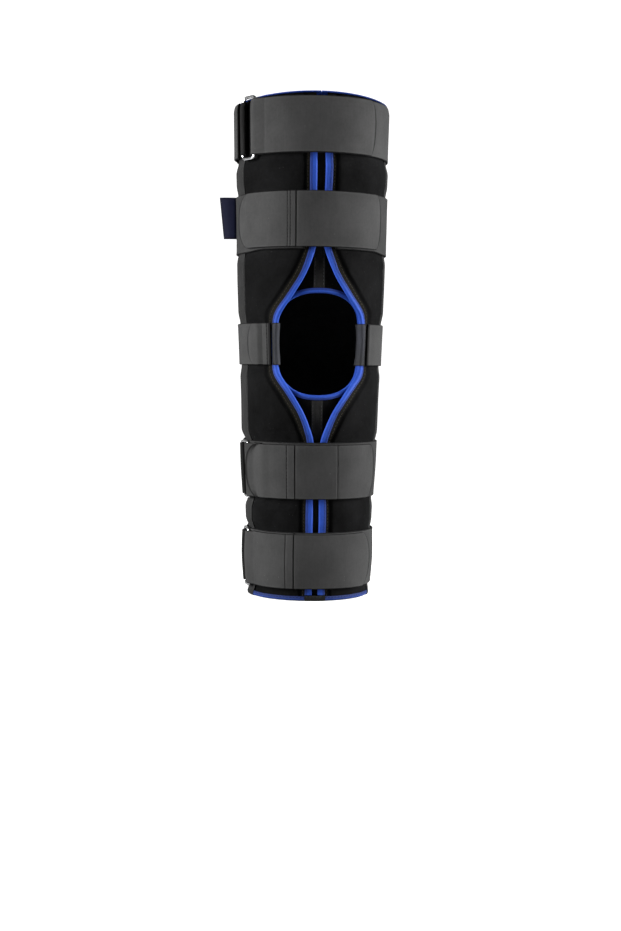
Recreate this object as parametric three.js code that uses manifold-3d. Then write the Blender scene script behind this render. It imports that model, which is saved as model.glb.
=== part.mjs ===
// Knee immobilizer: a padded cloth tube for a straight leg. Two front flaps close over an inner tongue
// with a patella opening, stays sit in side pockets, and five straps hold the tube shut.
// Millimetres, +Z up. The front faces -Y and the viewer's right is +X, so "left" is at -X.
// The origin is the middle of the lower rim, on the surface that the brace stands on.
// Angles are in degrees round the leg: 0 at the front seam, positive towards +X.
// A lift is a distance out from the padding's outer face, and is negative inside it.
import * as THREE from 'three';
import Module from 'manifold-3d';

const wasm = await Module();
wasm.setup();

// Overall form
const braceLength = 460; // lower rim to upper rim at the front
const thighHalfWidth = 72; // half the width at the upper rim
const kneeShare = 0.511; // height of the knee line, as a share of the length
const rimDip = 3; // the upper rim is this much lower at the sides and back
const facetAngle = 12; // one flat facet round the leg, a divisor of 360
const clearance = 0.3; // left between pieces that touch
const liningGap = 0.6; // between the layers inside the padding, whose facets cross

// Cloth thicknesses
const paddingThickness = 4.5;
const tongueThickness = 2.2;
const strapThickness = 2;
const closingThickness = 1.8; // hook-faced closing straps
const bindingThickness = 0.8;
const rimCap = 1; // binding folded over a rim or hem
const pocketThickness = 1.5;
const loopThickness = 1; // black tape that holds a ring
const tabThickness = 1.2;
const labelThickness = 0.6;

// Front flaps and tongue
const seamGap = 5.6; // between the two flaps' bindings
const flapOpeningHeight = 184; // the flaps part over this height, centred on the knee line
const flapOverlap = 4; // the flaps' widest point, inside the patella opening's edge
const flapBindingWidth = 5.5;
const pressedMargin = 4; // flat stitched margin beside the flap binding
const marginRise = 3; // the padding rises to full thickness over this width
const edgePress = 1.8; // how far the padding's outer face is pressed in there and under the pockets
const liningPress = 1.4; // how far its inner face is pressed in there
const tongueHalfAngle = 52;
const patellaHalfWidth = 46; // along the padding's outer face
const patellaHalfHeight = 46;
const patellaRoundness = 2.3; // exponent of the opening's superellipse
const patellaBindingWidth = 4.5;
const patellaSteps = 28; // straight steps round the opening
const tongueTapeWidth = 11;

// Rims
const rimLegOutside = 1.7;
const rimLegInside = 5;
const topStrapInset = rimDip + rimLegOutside + clearance; // below the upper rim
const hemHeight = 5.5;
const seamTapeHalfWidth = 9.5;

// Stay pockets
const pocketFront = 70;
const pocketBack = 102;
const pocketTuck = 12; // the pocket's lower end is tucked up inside the hem by this much

// Straps
const wideStrapWidth = 50;
const kneeStrapWidth = 38;
const strapPress = 1.5; // how far a strap presses the padding in
const strapEase = 12; // the dent runs out over this height beside a strap
const hemStrapInset = 11.5; // above the lower rim
const endLift = 0.5; // a rounded strap end stands off the strap under it by this much more
const thighStrapShare = 0.572; // from the knee line to the top strap
const shinStrapShare = 0.584; // from the knee line to the hem strap
const thighStrapSeam = 14; // the thigh strap starts and ends this far from the front seam
const kneeStrapSetback = 4.5; // knee strap's front ends, outside the flaps' widest point
const kneeStrapEndAngle = 50; // the knee strap ends here under the hook tab
const hookClimb = 2; // half the length over which the hook tab climbs onto the knee strap
const kneeTabReach = 3; // knee tab's ends, outside the flaps' widest point and the opening's edge

// Rings and label
const ringWire = 2.8;
const ringWidth = 19.5;
const ringOverhang = 4; // the ring stands this far past each edge of its strap
const ringCorner = 5;
const loopOverlap = 12; // degrees of anchor loop hidden under the strap's sewn start
const loopSetback = 6; // degrees at least from the loop's sewn part to its bar
const loopInset = 1; // the loop is narrower than its strap by this much at each edge
const ringSides = 6;
const ringCornerSteps = 3;
const turnSteps = 6; // straight steps of a strap's turn round a ring
const labelHeight = 39;
const labelReach = 14;
const labelFoot = 7;
const labelRise = 7; // label's middle above the thigh strap's middle
const labelAngle = -100;

// Leg form: heights as shares of the length, half widths as shares of the thigh's, and the front
// and back depths as shares of the half width there.
const legSections = [
  { height: 0.0, halfWidth: 0.8, front: 1.02, back: 1.02 },
  { height: 0.08, halfWidth: 0.842, front: 1.02, back: 1.04 },
  { height: 0.17, halfWidth: 0.824, front: 1.02, back: 1.07 },
  { height: 0.26, halfWidth: 0.866, front: 1.02, back: 1.09 },
  { height: 0.38, halfWidth: 0.893, front: 1.03, back: 1.06 },
  { height: 0.51, halfWidth: 0.929, front: 1.05, back: 1.0 },
  { height: 0.65, halfWidth: 0.958, front: 1.04, back: 1.03 },
  { height: 0.8, halfWidth: 0.973, front: 1.03, back: 1.07 },
  { height: 1.0, halfWidth: 1.0, front: 1.03, back: 1.08 },
];

// Flap edge beside the patella opening: rise as a share of half the flaps' opening height, and
// spread as a share of the way from the seam gap to the widest point.
const flapEdge = [
  { rise: 0.0, spread: 1.0 },
  { rise: 0.24, spread: 0.962 },
  { rise: 0.34, spread: 0.81 },
  { rise: 0.435, spread: 0.625 },
  { rise: 0.54, spread: 0.455 },
  { rise: 0.64, spread: 0.3 },
  { rise: 0.74, spread: 0.184 },
  { rise: 0.84, spread: 0.089 },
  { rise: 0.94, spread: 0.013 },
  { rise: 1.0, spread: 0.0 },
];

// Straps that fold back through a ring: where the ring's middle and the strap's sewn start lie
const ringStraps = {
  top: { ringAngle: -56, startAngle: -71.6 },
  shin: { ringAngle: -77, startAngle: -98 },
  hem: { ringAngle: -82, startAngle: -101 },
};

// Rounded strap ends: angles of the end's tip and of its two corners
const strapEnds = {
  topRight: { tip: 45.5, corner: 39.5 },
  thighLeft: { tip: -73.7, corner: -58.3 },
  thighRight: { tip: 55, corner: 47.4 },
  kneeLeft: { tip: -67.7, corner: -59 },
  shinLeft: { tip: -73.4, corner: -56.4 },
  shinRight: { tip: 61.5, corner: 51.4 },
  hemRight: { tip: 60, corner: 47 },
  shinFolded: { tip: -50, blunt: true }, // cut straight, under the closing strap
};

const kneeHeight = kneeShare * braceLength;
const flapWidest = patellaHalfWidth - flapOverlap;
const tongueBottom = hemHeight + liningGap;
const topStrapHeight = braceLength - topStrapInset - wideStrapWidth / 2;
const hemStrapHeight = hemStrapInset + wideStrapWidth / 2;
const lerp = THREE.MathUtils.lerp;

const bands = {
  hem: { height: hemStrapHeight, width: wideStrapWidth },
  shin: { height: lerp(kneeHeight, hemStrapHeight, shinStrapShare), width: wideStrapWidth },
  knee: { height: kneeHeight, width: kneeStrapWidth },
  thigh: { height: lerp(kneeHeight, topStrapHeight, thighStrapShare), width: wideStrapWidth },
  top: { height: topStrapHeight, width: wideStrapWidth },
};

// Lifts of the layers, from the strap stack down to the tongue
const baseLift = clearance;
const closingLift = baseLift + strapThickness + clearance;
const ringLift = baseLift + strapThickness + clearance + ringWire / 2;
const foldedLift = ringLift + ringWire / 2 + clearance;
const marginLift = -edgePress;
const flapBindingLift = marginLift + liningGap;
const kneeTabLift = flapBindingLift + bindingThickness + clearance;
const insideLift = -paddingThickness - liningGap;
const flapInnerLift = -paddingThickness + liningPress;
const flapBindingInside = flapInnerLift - liningGap;
const tapeLift = flapBindingInside - bindingThickness - liningGap;
const tongueOuter = tapeLift - bindingThickness - liningGap;
const tongueInner = tongueOuter - tongueThickness;
const tongueInside = tongueInner - liningGap;
const kneeTabInside = tongueInside - bindingThickness - liningGap;

// Linear reading of a table with rows sorted by the key column
function readTable(table, key, value, at) {
  const last = table.findIndex((row) => row[key] >= at);
  if (last === -1) return table[table.length - 1][value];
  if (last === 0) return table[0][value];
  const low = table[last - 1];
  const high = table[last];
  return lerp(low[value], high[value], (at - low[key]) / (high[key] - low[key]));
}

function halfWidthAt(height) {
  return thighHalfWidth * readTable(legSections, 'height', 'halfWidth', height / braceLength);
}

// Angle of a point that lies a distance along the surface from the front seam
function angleOf(distance, height) {
  return THREE.MathUtils.radToDeg(distance / halfWidthAt(height));
}

// Share of the full strap dent at a height
function pressAt(height) {
  let press = 0;
  for (const band of Object.values(bands)) {
    const away = Math.abs(height - band.height) - band.width / 2;
    press = Math.max(press, 1 - Math.max(away, 0) / strapEase);
  }
  return press;
}

// Adds heights that keep a spacing from those already there, and sorts them
function addHeights(heights, extra, spacing) {
  for (const height of extra) {
    const inside = height > 0 && height < braceLength;
    if (inside && heights.every((other) => Math.abs(other - height) >= spacing)) heights.push(height);
  }
  return heights.sort((a, b) => a - b);
}

// Least distances between the heights where the outline bends
const bendSpacing = { edge: 1, ease: 10, section: 9, flap: 5.5 };

// Heights where the outline bends: the rims, the strap edges, the ends of the dents and the sections
function bendHeights() {
  const edges = [];
  const eases = [];
  for (const band of Object.values(bands)) {
    const reach = band.width / 2;
    edges.push(band.height - reach, band.height + reach);
    eases.push(band.height - reach - strapEase, band.height + reach + strapEase);
  }
  const heights = addHeights([0, braceLength], edges, bendSpacing.edge);
  addHeights(heights, eases, bendSpacing.ease);
  const sections = legSections.map((section) => section.height * braceLength);
  const open = sections.filter((height) => pressAt(height) === 0);
  return addHeights(heights, open, bendSpacing.section);
}

const bends = bendHeights();
const rowMargin = 1; // a piece's rows stay this far from its ends

// Point of the smooth leg form
function formPoint(angle, height, lift) {
  const turn = THREE.MathUtils.degToRad(angle);
  const side = Math.cos(turn) >= 0 ? 'front' : 'back';
  const halfWidth = halfWidthAt(height);
  const depth = halfWidth * readTable(legSections, 'height', side, height / braceLength);
  const out = new THREE.Vector2(Math.sin(turn) / halfWidth, -Math.cos(turn) / depth).normalize();
  const reach = lift - strapPress * pressAt(height);
  return new THREE.Vector3(
    halfWidth * Math.sin(turn) + reach * out.x,
    -depth * Math.cos(turn) + reach * out.y,
    height,
  );
}

// Point of the faceted leg form, which every layer follows so that the gaps between them stay even
function skinPoint(angle, height, lift) {
  const column = Math.floor(angle / facetAngle);
  const across = angle / facetAngle - column;
  const above = bends.findIndex((bend) => bend >= height);
  const row = Math.min(Math.max(above - 1, 0), bends.length - 2);
  const up = (height - bends[row]) / (bends[row + 1] - bends[row]);
  const corner = (i, j) => formPoint((column + i) * facetAngle, bends[row + j], lift);
  const low = corner(0, 0).lerp(corner(1, 0), across);
  const high = corner(0, 1).lerp(corner(1, 1), across);
  return low.lerp(high, up);
}

function rimHeight(angle) {
  const turn = Math.min(Math.abs(angle - 360 * Math.round(angle / 360)), 90);
  return braceLength - rimDip * Math.sin(THREE.MathUtils.degToRad(turn)) ** 2;
}

const facetMargin = 0.5; // degrees that a facet line keeps from a stretch's ends

// Start, facet lines and end of a stretch round the leg
function stretch(from, to) {
  const step = Math.sign(to - from) * facetAngle;
  const angles = [from];
  const first = step > 0 ? Math.floor(from / facetAngle) + 1 : Math.ceil(from / facetAngle) - 1;
  for (let line = first * facetAngle; (to - line) * step > 0; line += step) {
    if (Math.abs(line - from) > facetMargin && Math.abs(line - to) > facetMargin) angles.push(line);
  }
  return [...angles, to];
}

// Geometry of a closed body, turned so that its faces point out
function bodyGeometry(points, index) {
  let volume = 0;
  for (let i = 0; i < index.length; i += 3) {
    const [a, b, c] = [points[index[i]], points[index[i + 1]], points[index[i + 2]]];
    volume += a.dot(b.clone().cross(c));
  }
  const faces = volume < 0 ? index.slice().reverse() : index;
  const geometry = new THREE.BufferGeometry();
  const positions = points.flatMap((point) => point.toArray());
  geometry.setAttribute('position', new THREE.Float32BufferAttribute(positions, 3));
  geometry.setIndex(faces);
  geometry.computeVertexNormals();
  return geometry;
}

// Body between two matching grids of points. A closed one joins its last column to its first.
function plate(outer, inner, closed = false) {
  const columns = outer.length;
  const rows = outer[0].length;
  const top = rows - 1;
  const end = columns - 1;
  const index = [];
  const at = (side, i, j) => (side * columns + (i % columns)) * rows + j;
  const quad = (a, b, c, d) => index.push(a, b, c, a, c, d);
  for (let i = 0; i < (closed ? columns : end); i += 1) {
    for (let j = 0; j < top; j += 1) {
      quad(at(0, i, j), at(0, i + 1, j), at(0, i + 1, j + 1), at(0, i, j + 1));
      quad(at(1, i, j), at(1, i, j + 1), at(1, i + 1, j + 1), at(1, i + 1, j));
    }
    quad(at(0, i, 0), at(1, i, 0), at(1, i + 1, 0), at(0, i + 1, 0));
    quad(at(0, i, top), at(0, i + 1, top), at(1, i + 1, top), at(1, i, top));
  }
  for (let j = 0; !closed && j < top; j += 1) {
    quad(at(0, 0, j), at(0, 0, j + 1), at(1, 0, j + 1), at(1, 0, j));
    quad(at(0, end, j), at(1, end, j), at(1, end, j + 1), at(0, end, j + 1));
  }
  return bodyGeometry([...outer.flat(), ...inner.flat()], index);
}

// Ring-shaped body through a loop of closed sections
function hoop(sections) {
  const count = sections.length;
  const sides = sections[0].length;
  const index = [];
  const at = (i, j) => (i % count) * sides + (j % sides);
  for (let i = 0; i < count; i += 1) {
    for (let j = 0; j < sides; j += 1) {
      index.push(at(i, j), at(i + 1, j), at(i + 1, j + 1), at(i, j), at(i + 1, j + 1), at(i, j + 1));
    }
  }
  return bodyGeometry(sections.flat(), index);
}

function toSolid(geometry) {
  return new wasm.Manifold(new wasm.Mesh({
    numProp: 3,
    vertProperties: geometry.getAttribute('position').array,
    triVerts: Uint32Array.from(geometry.getIndex().array),
  }));
}

function fromSolid(solid) {
  const mesh = solid.getMesh();
  const geometry = new THREE.BufferGeometry();
  geometry.setAttribute('position', new THREE.BufferAttribute(mesh.vertProperties, 3));
  geometry.setIndex(Array.from(mesh.triVerts));
  geometry.computeVertexNormals();
  return geometry;
}

// Cloth panel: columns give an angle at each height and the lifts of the outer face and the lining
function panel(columns, heights, ends) {
  const grid = (liftOf) => columns.map((column) => heights.map((height) => {
    const top = ends.top(column.angle(height));
    const level = Math.min(Math.max(height, ends.bottom), top);
    return skinPoint(column.angle(level), height >= braceLength ? top : level, liftOf(column, height));
  }));
  const innerLift = (column, height) => Math.max(column.lining, ends.lining(height));
  return plate(grid((column) => column.lift), grid(innerLift));
}

const slopeReach = 2; // the flap edge's slope is read over this height, up and down

// Flap edge, as a distance from the front seam; inset moves it into the flap
function flapEdgeAt(height, inset) {
  const edge = (level) => {
    const rise = Math.abs(level - kneeHeight) / (flapOpeningHeight / 2);
    return lerp(seamGap / 2, flapWidest, readTable(flapEdge, 'rise', 'spread', rise));
  };
  const slope = (edge(height + slopeReach) - edge(height - slopeReach)) / (2 * slopeReach);
  return edge(height) + inset * Math.hypot(1, slope);
}

const edgeRises = flapEdge.map(({ rise }) => (rise * flapOpeningHeight) / 2);
const edgeHeights = edgeRises.flatMap((rise) => [kneeHeight - rise, kneeHeight + rise]);
const flapHeights = addHeights([...bends], edgeHeights, bendSpacing.flap);

// The lining's lift, which rises under the top strap to the thin rim
function liningAt(height) {
  const start = bands.top.height - bands.top.width / 2;
  const share = (height - start) / (braceLength - rimDip - rimLegInside - start);
  return lerp(-paddingThickness, flapInnerLift, THREE.MathUtils.clamp(share, 0, 1));
}

const panelEnds = {
  bottom: rimCap + clearance,
  top: (angle) => rimHeight(angle) - rimCap - clearance,
  lining: liningAt,
};
const lining = -paddingThickness;
const gapAngle = THREE.MathUtils.radToDeg(clearance / halfWidthAt(0));

const flapColumns = 5; // facets between the pressed margin and the stay pocket

// Front flap: pressed flat beside its bound edge, full in the middle, recessed under the stay pocket
function flap(side) {
  const pressEnd = flapBindingWidth + pressedMargin;
  const blendEnd = pocketFront - facetAngle;
  const edgeAngle = (inset) => (height) => angleOf(flapEdgeAt(height, inset), height);
  const riseEnd = edgeAngle(pressEnd + marginRise);
  const columns = [
    { angle: edgeAngle(bindingThickness + liningGap), lift: marginLift, lining: flapInnerLift },
    { angle: edgeAngle(pressEnd), lift: marginLift, lining: flapInnerLift },
    { angle: riseEnd, lift: 0, lining },
  ];
  for (let i = 1; i <= flapColumns; i += 1) {
    columns.push({ angle: (height) => lerp(riseEnd(height), blendEnd, i / flapColumns), lift: 0, lining });
  }
  columns.push({ angle: () => pocketFront - gapAngle, lift: 0, lining });
  for (const angle of stretch(pocketFront, 90 - gapAngle)) {
    columns.push({ angle: () => angle, lift: marginLift, lining });
  }
  const turned = columns.map((column) => ({ ...column, angle: (height) => side * column.angle(height) }));
  return panel(turned, flapHeights, panelEnds);
}

// Back panel, between the butt seams that the stay pockets cover
function backPanel() {
  const columns = [];
  const add = (from, to, lift) => {
    for (const angle of stretch(from, to)) columns.push({ angle: () => angle, lift, lining });
  };
  add(90 + gapAngle, pocketBack, marginLift);
  add(pocketBack + gapAngle, 360 - pocketBack - gapAngle, 0);
  add(360 - pocketBack, 270 - gapAngle, marginLift);
  return panel(columns, bends, panelEnds);
}

// Stay pocket: lies in the recess, and its lower end is folded under the hem and tucked up inside
function stayPocket(side) {
  const angles = stretch(pocketFront + gapAngle, pocketBack - gapAngle);
  const top = panelEnds.top(90);
  const levels = bends.filter((bend) => bend > hemHeight && bend < top - rowMargin);
  const outer = [];
  const inner = [];
  for (const angle of angles) {
    const at = (height, lift) => skinPoint(side * angle, height, lift);
    const tuck = insideLift - loopThickness;
    outer.push([at(pocketTuck, tuck), at(0, tuck), at(0, 0)]);
    inner.push([at(pocketTuck, insideLift), at(rimCap, insideLift), at(rimCap, -pocketThickness)]);
    for (const height of [...levels, top]) {
      outer.at(-1).push(at(height, 0));
      inner.at(-1).push(at(height, -pocketThickness));
    }
  }
  return plate(outer, inner);
}

// Tongue behind the flaps, cut through by the patella opening
function tongue() {
  const columns = stretch(-tongueHalfAngle, tongueHalfAngle).map((angle) => ({
    angle: () => angle,
    lift: tongueOuter,
    lining: tongueInner,
  }));
  const ends = {
    bottom: tongueBottom,
    top: () => braceLength - rimCap - clearance,
    lining: () => tongueInner,
  };
  const sheet = toSolid(panel(columns, bends, ends));
  const cutter = toSolid(patellaCutter(bindingThickness + clearance));
  return fromSolid(sheet.subtract(cutter));
}

// Outline of the patella opening, as distances from the seam and the knee line
function patellaOutline(inset, steps) {
  const outline = [];
  const power = 2 / patellaRoundness;
  for (let i = 0; i < steps; i += 1) {
    const turn = (i / steps) * 2 * Math.PI;
    const [c, s] = [Math.cos(turn), Math.sin(turn)];
    const across = patellaHalfWidth * Math.sign(c) * Math.abs(c) ** power;
    const rise = patellaHalfHeight * Math.sign(s) * Math.abs(s) ** power;
    const out = new THREE.Vector2(
      Math.sign(c) * Math.abs(across / patellaHalfWidth) ** (patellaRoundness - 1) / patellaHalfWidth,
      Math.sign(s) * Math.abs(rise / patellaHalfHeight) ** (patellaRoundness - 1) / patellaHalfHeight,
    ).normalize();
    outline.push(new THREE.Vector2(across, rise).addScaledVector(out, inset));
  }
  return outline;
}

function patellaPoint(place, lift) {
  const height = kneeHeight + place.y;
  return skinPoint(angleOf(place.x, kneeHeight), height, lift);
}

// Plug through the tongue, wider than the opening by an inset
function patellaCutter(inset) {
  const outline = patellaOutline(inset, patellaSteps);
  const reach = tongueThickness;
  const loops = [tongueOuter + reach, tongueInner - reach].map((lift) => {
    return outline.map((place) => patellaPoint(place, lift));
  });
  const points = loops.flat();
  const count = outline.length;
  const index = [];
  for (let i = 0; i < count; i += 1) {
    const next = (i + 1) % count;
    index.push(i, next, count + next, i, count + next, count + i);
  }
  for (const [start, flip] of [[0, false], [count, true]]) {
    for (let i = 0; i < count / 2; i += 1) {
      const [right, left] = [start + i, start + i + 1];
      const [lowLeft, lowRight] = [start + count - 1 - i, start + ((count - i) % count)];
      const faces = [];
      if (left !== lowLeft) faces.push([right, left, lowLeft]);
      if (right !== lowRight) faces.push([right, lowLeft, lowRight]);
      for (const face of faces) index.push(...(flip ? face : face.reverse()));
    }
  }
  return bodyGeometry(points, index);
}

// Channel of binding along a bound edge: the outer layer, the fold and the inner layer
function channel(stations, closed = false) {
  const outer = stations.map((station) => station.map(([skin]) => skin));
  const inner = stations.map((station) => station.map(([, lining]) => lining));
  return plate(outer, inner, closed);
}

function flapBinding(side) {
  const bottom = hemHeight + clearance;
  const top = braceLength - rimLegInside - clearance;
  const levels = flapHeights.filter((height) => height > bottom + rowMargin && height < top - rowMargin);
  const [front, back] = [flapBindingLift + bindingThickness, flapBindingInside - bindingThickness];
  return channel([bottom, ...levels, top].map((height) => {
    const at = (inset, lift) => {
      return skinPoint(side * angleOf(flapEdgeAt(height, inset), height), height, lift);
    };
    return [
      [at(flapBindingWidth, front), at(flapBindingWidth, flapBindingLift)],
      [at(0, front), at(bindingThickness, flapBindingLift)],
      [at(0, back), at(bindingThickness, flapBindingInside)],
      [at(flapBindingWidth, back), at(flapBindingWidth, flapBindingInside)],
    ];
  }));
}

function patellaBinding() {
  const insets = [0, bindingThickness, patellaBindingWidth];
  const outlines = insets.map((inset) => patellaOutline(inset, patellaSteps));
  const [front, back] = [tapeLift, tongueInside - bindingThickness];
  const stations = outlines[0].map((edge, i) => [
    [patellaPoint(outlines[2][i], front), patellaPoint(outlines[2][i], front - bindingThickness)],
    [patellaPoint(edge, front), patellaPoint(outlines[1][i], front - bindingThickness)],
    [patellaPoint(edge, back), patellaPoint(outlines[1][i], tongueInside)],
    [patellaPoint(outlines[2][i], back), patellaPoint(outlines[2][i], tongueInside)],
  ]);
  return channel(stations, true);
}

// Binding folded over a rim. Heights and lifts are those of its layers' free ends and of its fold.
function rimChannel(angles, { outsideEnd, fold, insideEnd, cap, front, back, thickness }) {
  return channel(angles.map((angle) => {
    const at = (height, lift) => skinPoint(angle, height(angle), lift);
    return [
      [at(outsideEnd, front), at(outsideEnd, front - thickness)],
      [at(fold, front), at(cap, front - thickness)],
      [at(fold, back), at(cap, back + thickness)],
      [at(insideEnd, back), at(insideEnd, back + thickness)],
    ];
  }));
}

const bindingFront = clearance + bindingThickness;
const bindingBack = insideLift - bindingThickness;

function rimBinding() {
  const start = angleOf(seamGap / 2, braceLength);
  return rimChannel(stretch(start, 360 - start), {
    outsideEnd: (angle) => rimHeight(angle) - rimLegOutside,
    insideEnd: (angle) => rimHeight(angle) - rimLegInside,
    fold: rimHeight,
    cap: (angle) => rimHeight(angle) - rimCap,
    front: bindingFront,
    back: tapeLift + clearance,
    thickness: bindingThickness,
  });
}

function tongueBinding() {
  return rimChannel(stretch(-tongueHalfAngle, tongueHalfAngle), {
    outsideEnd: () => braceLength - rimLegInside,
    insideEnd: () => braceLength - rimLegInside,
    fold: () => braceLength,
    cap: () => braceLength - rimCap,
    front: tapeLift,
    back: tongueInside - bindingThickness,
    thickness: bindingThickness,
  });
}

function hemBinding(from, to, front) {
  return rimChannel(stretch(from, to), {
    outsideEnd: () => hemHeight,
    insideEnd: () => hemHeight,
    fold: () => 0,
    cap: () => rimCap,
    front,
    back: bindingBack,
    thickness: bindingThickness,
  });
}

// Flat tape on the tongue's outer face, along the front seam
function tongueTape(bottom, top) {
  const levels = bends.filter((bend) => bend > bottom + rowMargin && bend < top - rowMargin);
  const grid = (lift) => [-0.5, 0, 0.5].map((share) => [bottom, ...levels, top].map((height) => {
    return skinPoint(angleOf(share * tongueTapeWidth, height), height, lift);
  }));
  return plate(grid(tapeLift), grid(tapeLift - bindingThickness));
}

// A strap's path is a list of stations. Each holds the angle and lift of the strap's two faces,
// first the one that faces out where the strap starts.
function lay(from, to, fromLift, toLift, thickness, flipped = false) {
  return stretch(from, to).map((angle) => {
    const lift = lerp(fromLift, toLift, from === to ? 0 : (angle - from) / (to - from));
    const faces = [{ angle, lift: lift + thickness }, { angle, lift }];
    return flipped ? faces.reverse() : faces;
  });
}

// Turn of a strap round a ring's bar, from under the bar to over it; heading is the way it came
function turnRound(barAngle, height, thickness, heading) {
  const inside = ringWire / 2 + clearance;
  const stations = [];
  for (let i = 1; i < turnSteps; i += 1) {
    const turn = (i / turnSteps) * Math.PI;
    stations.push([inside, inside + thickness].map((radius) => ({
      angle: barAngle + heading * angleOf(radius * Math.sin(turn), height),
      lift: ringLift - radius * Math.cos(turn),
    })));
  }
  return stations;
}

// Strap over the full width of a band. Rows run across it from -1 to 1, and the end stations may
// be rounded: their angles then follow an arc from the tip to the corners.
function strap(band, stations, rows) {
  const faces = [0, 1].map((face) => stations.map((station) => rows.map((row) => {
    const { angle, lift } = typeof station === 'function' ? station(row)[face] : station[face];
    return skinPoint(angle, band.height + (row * band.width) / 2, lift);
  })));
  return plate(faces[0], faces[1]);
}

// Stations of a rounded end, from the last whole station's angle out to the arc
function roundedEnd(from, end, shares, liftAt, thickness, flipped = false) {
  return shares.map((share) => (row) => {
    const reach = end.corner + (end.tip - end.corner) * (1 - row * row);
    const angle = lerp(from, reach, share);
    const lift = liftAt(angle) + endLift;
    const faces = [{ angle, lift: lift + thickness }, { angle, lift }];
    return flipped ? faces.reverse() : faces;
  });
}

const straightRows = [-1, 1];
const roundedRows = [-1, -0.6, 0, 0.6, 1];
const endShares = [0.35, 0.7, 1];
const cornerMargin = 1; // degrees from the last whole facet line to a rounded end's corners
const seatMargin = 1; // degrees past the sewn start and the loop's end
const foldRunout = 10; // degrees over which a folded strap comes down from its ring
const climbSetback = 2; // degrees from the ring's bar to where the closing strap comes down

function ringBars(name) {
  const { ringAngle } = ringStraps[name];
  const reach = angleOf((ringWidth - ringWire) / 2, bands[name].height);
  return { right: ringAngle + reach, left: ringAngle - reach };
}

// Strap sewn on over its anchor loop, led round the back and the front, and folded back at its ring
function ringStrap(name, end) {
  const band = bands[name];
  const { startAngle } = ringStraps[name];
  const { right } = ringBars(name);
  const bar = right - 360;
  const seatLift = baseLift + 2 * (loopThickness + clearance);
  const loopEnd = startAngle - loopOverlap;
  const foldEnd = bar + foldRunout;
  const lastFacet = Math.floor((end.corner - cornerMargin) / facetAngle) * facetAngle;
  const lastWhole = (end.blunt ? end.tip : lastFacet) - 360;
  const stations = [
    ...lay(startAngle, loopEnd - seatMargin, seatLift, seatLift, strapThickness),
    ...lay(loopEnd - foldRunout, bar, baseLift, baseLift, strapThickness),
    ...turnRound(bar, band.height, strapThickness, -1),
    ...lay(bar, foldEnd, foldedLift, closingLift, strapThickness, true),
    ...lay(foldEnd, lastWhole, closingLift, closingLift, strapThickness, true).slice(1),
  ];
  if (end.blunt) return strap(band, stations, straightRows);
  const turned = { tip: end.tip - 360, corner: end.corner - 360 };
  stations.push(...roundedEnd(lastWhole, turned, [0.5, 1], () => closingLift, strapThickness, true));
  return strap(band, stations, [-1, 0, 1]);
}

// Black tape doubled round the ring's far bar and sewn down under the strap's start
function anchorLoop(name) {
  const { startAngle } = ringStraps[name];
  const { left } = ringBars(name);
  const loopEnd = startAngle - loopOverlap;
  const underBar = ringLift - ringWire / 2 - clearance - loopThickness;
  const upperLift = baseLift + loopThickness + clearance;
  const sewn = Math.min(startAngle + seatMargin, left - loopSetback);
  const stations = [
    ...lay(loopEnd, sewn, baseLift, baseLift, loopThickness),
    ...lay(left, left, underBar, underBar, loopThickness).slice(1),
    ...turnRound(left, bands[name].height, loopThickness, 1),
    ...lay(left, sewn, foldedLift, upperLift, loopThickness, true),
    ...lay(sewn, loopEnd, upperLift, upperLift, loopThickness, true).slice(1),
  ];
  const band = { height: bands[name].height, width: bands[name].width - 2 * loopInset };
  return strap(band, stations, straightRows);
}

// Wire ring, longer than its strap is wide
function ring(name) {
  const band = bands[name];
  const { ringAngle } = ringStraps[name];
  const radius = ringWire / 2;
  const halfAcross = ringWidth / 2 - radius;
  const halfUp = band.width / 2 + ringOverhang - radius;
  const corner = ringCorner - radius;
  const sections = [];
  for (let quarter = 0; quarter < 4; quarter += 1) {
    for (let i = 0; i <= ringCornerSteps; i += 1) {
      const turn = ((quarter + i / ringCornerSteps) * Math.PI) / 2;
      const [c, s] = [Math.cos(turn), Math.sin(turn)];
      const middle = ((quarter + 0.5) * Math.PI) / 2;
      const across = Math.sign(Math.cos(middle)) * (halfAcross - corner) + corner * c;
      const up = Math.sign(Math.sin(middle)) * (halfUp - corner) + corner * s;
      const section = [];
      for (let j = 0; j < ringSides; j += 1) {
        const roll = (j / ringSides) * 2 * Math.PI;
        const out = radius * Math.cos(roll);
        const angle = ringAngle + angleOf(across + out * c, band.height);
        section.push(skinPoint(angle, band.height + up + out * s, ringLift + radius * Math.sin(roll)));
      }
      sections.push(section);
    }
  }
  return hoop(sections);
}

// Closing strap across the front, with both ends rounded
function closingStrap(name, left, right, liftAt) {
  const leftWhole = Math.ceil((left.corner + cornerMargin) / facetAngle) * facetAngle;
  const rightWhole = Math.floor((right.corner - cornerMargin) / facetAngle) * facetAngle;
  const middle = stretch(leftWhole, rightWhole).map((angle) => [
    { angle, lift: liftAt(angle) + closingThickness },
    { angle, lift: liftAt(angle) },
  ]);
  const stations = [
    ...roundedEnd(leftWhole, left, endShares, liftAt, closingThickness).reverse(),
    ...middle,
    ...roundedEnd(rightWhole, right, endShares, liftAt, closingThickness),
  ];
  return strap(bands[name], stations, roundedRows);
}

// The shin closing strap climbs over the base strap's folded end and the ring
function shinClosingLift(angle) {
  const { right } = ringBars('shin');
  const over = strapThickness + liningGap;
  const shinFoldEnd = right + foldRunout;
  const down = (angle - right - climbSetback) / foldRunout;
  if (angle < shinFoldEnd + climbSetback) {
    return lerp(foldedLift, closingLift, Math.max(down, 0)) + over;
  }
  const fade = THREE.MathUtils.clamp((angle - shinFoldEnd - foldRunout) / foldRunout, 0, 1);
  return closingLift + over * (1 - fade);
}

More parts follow.
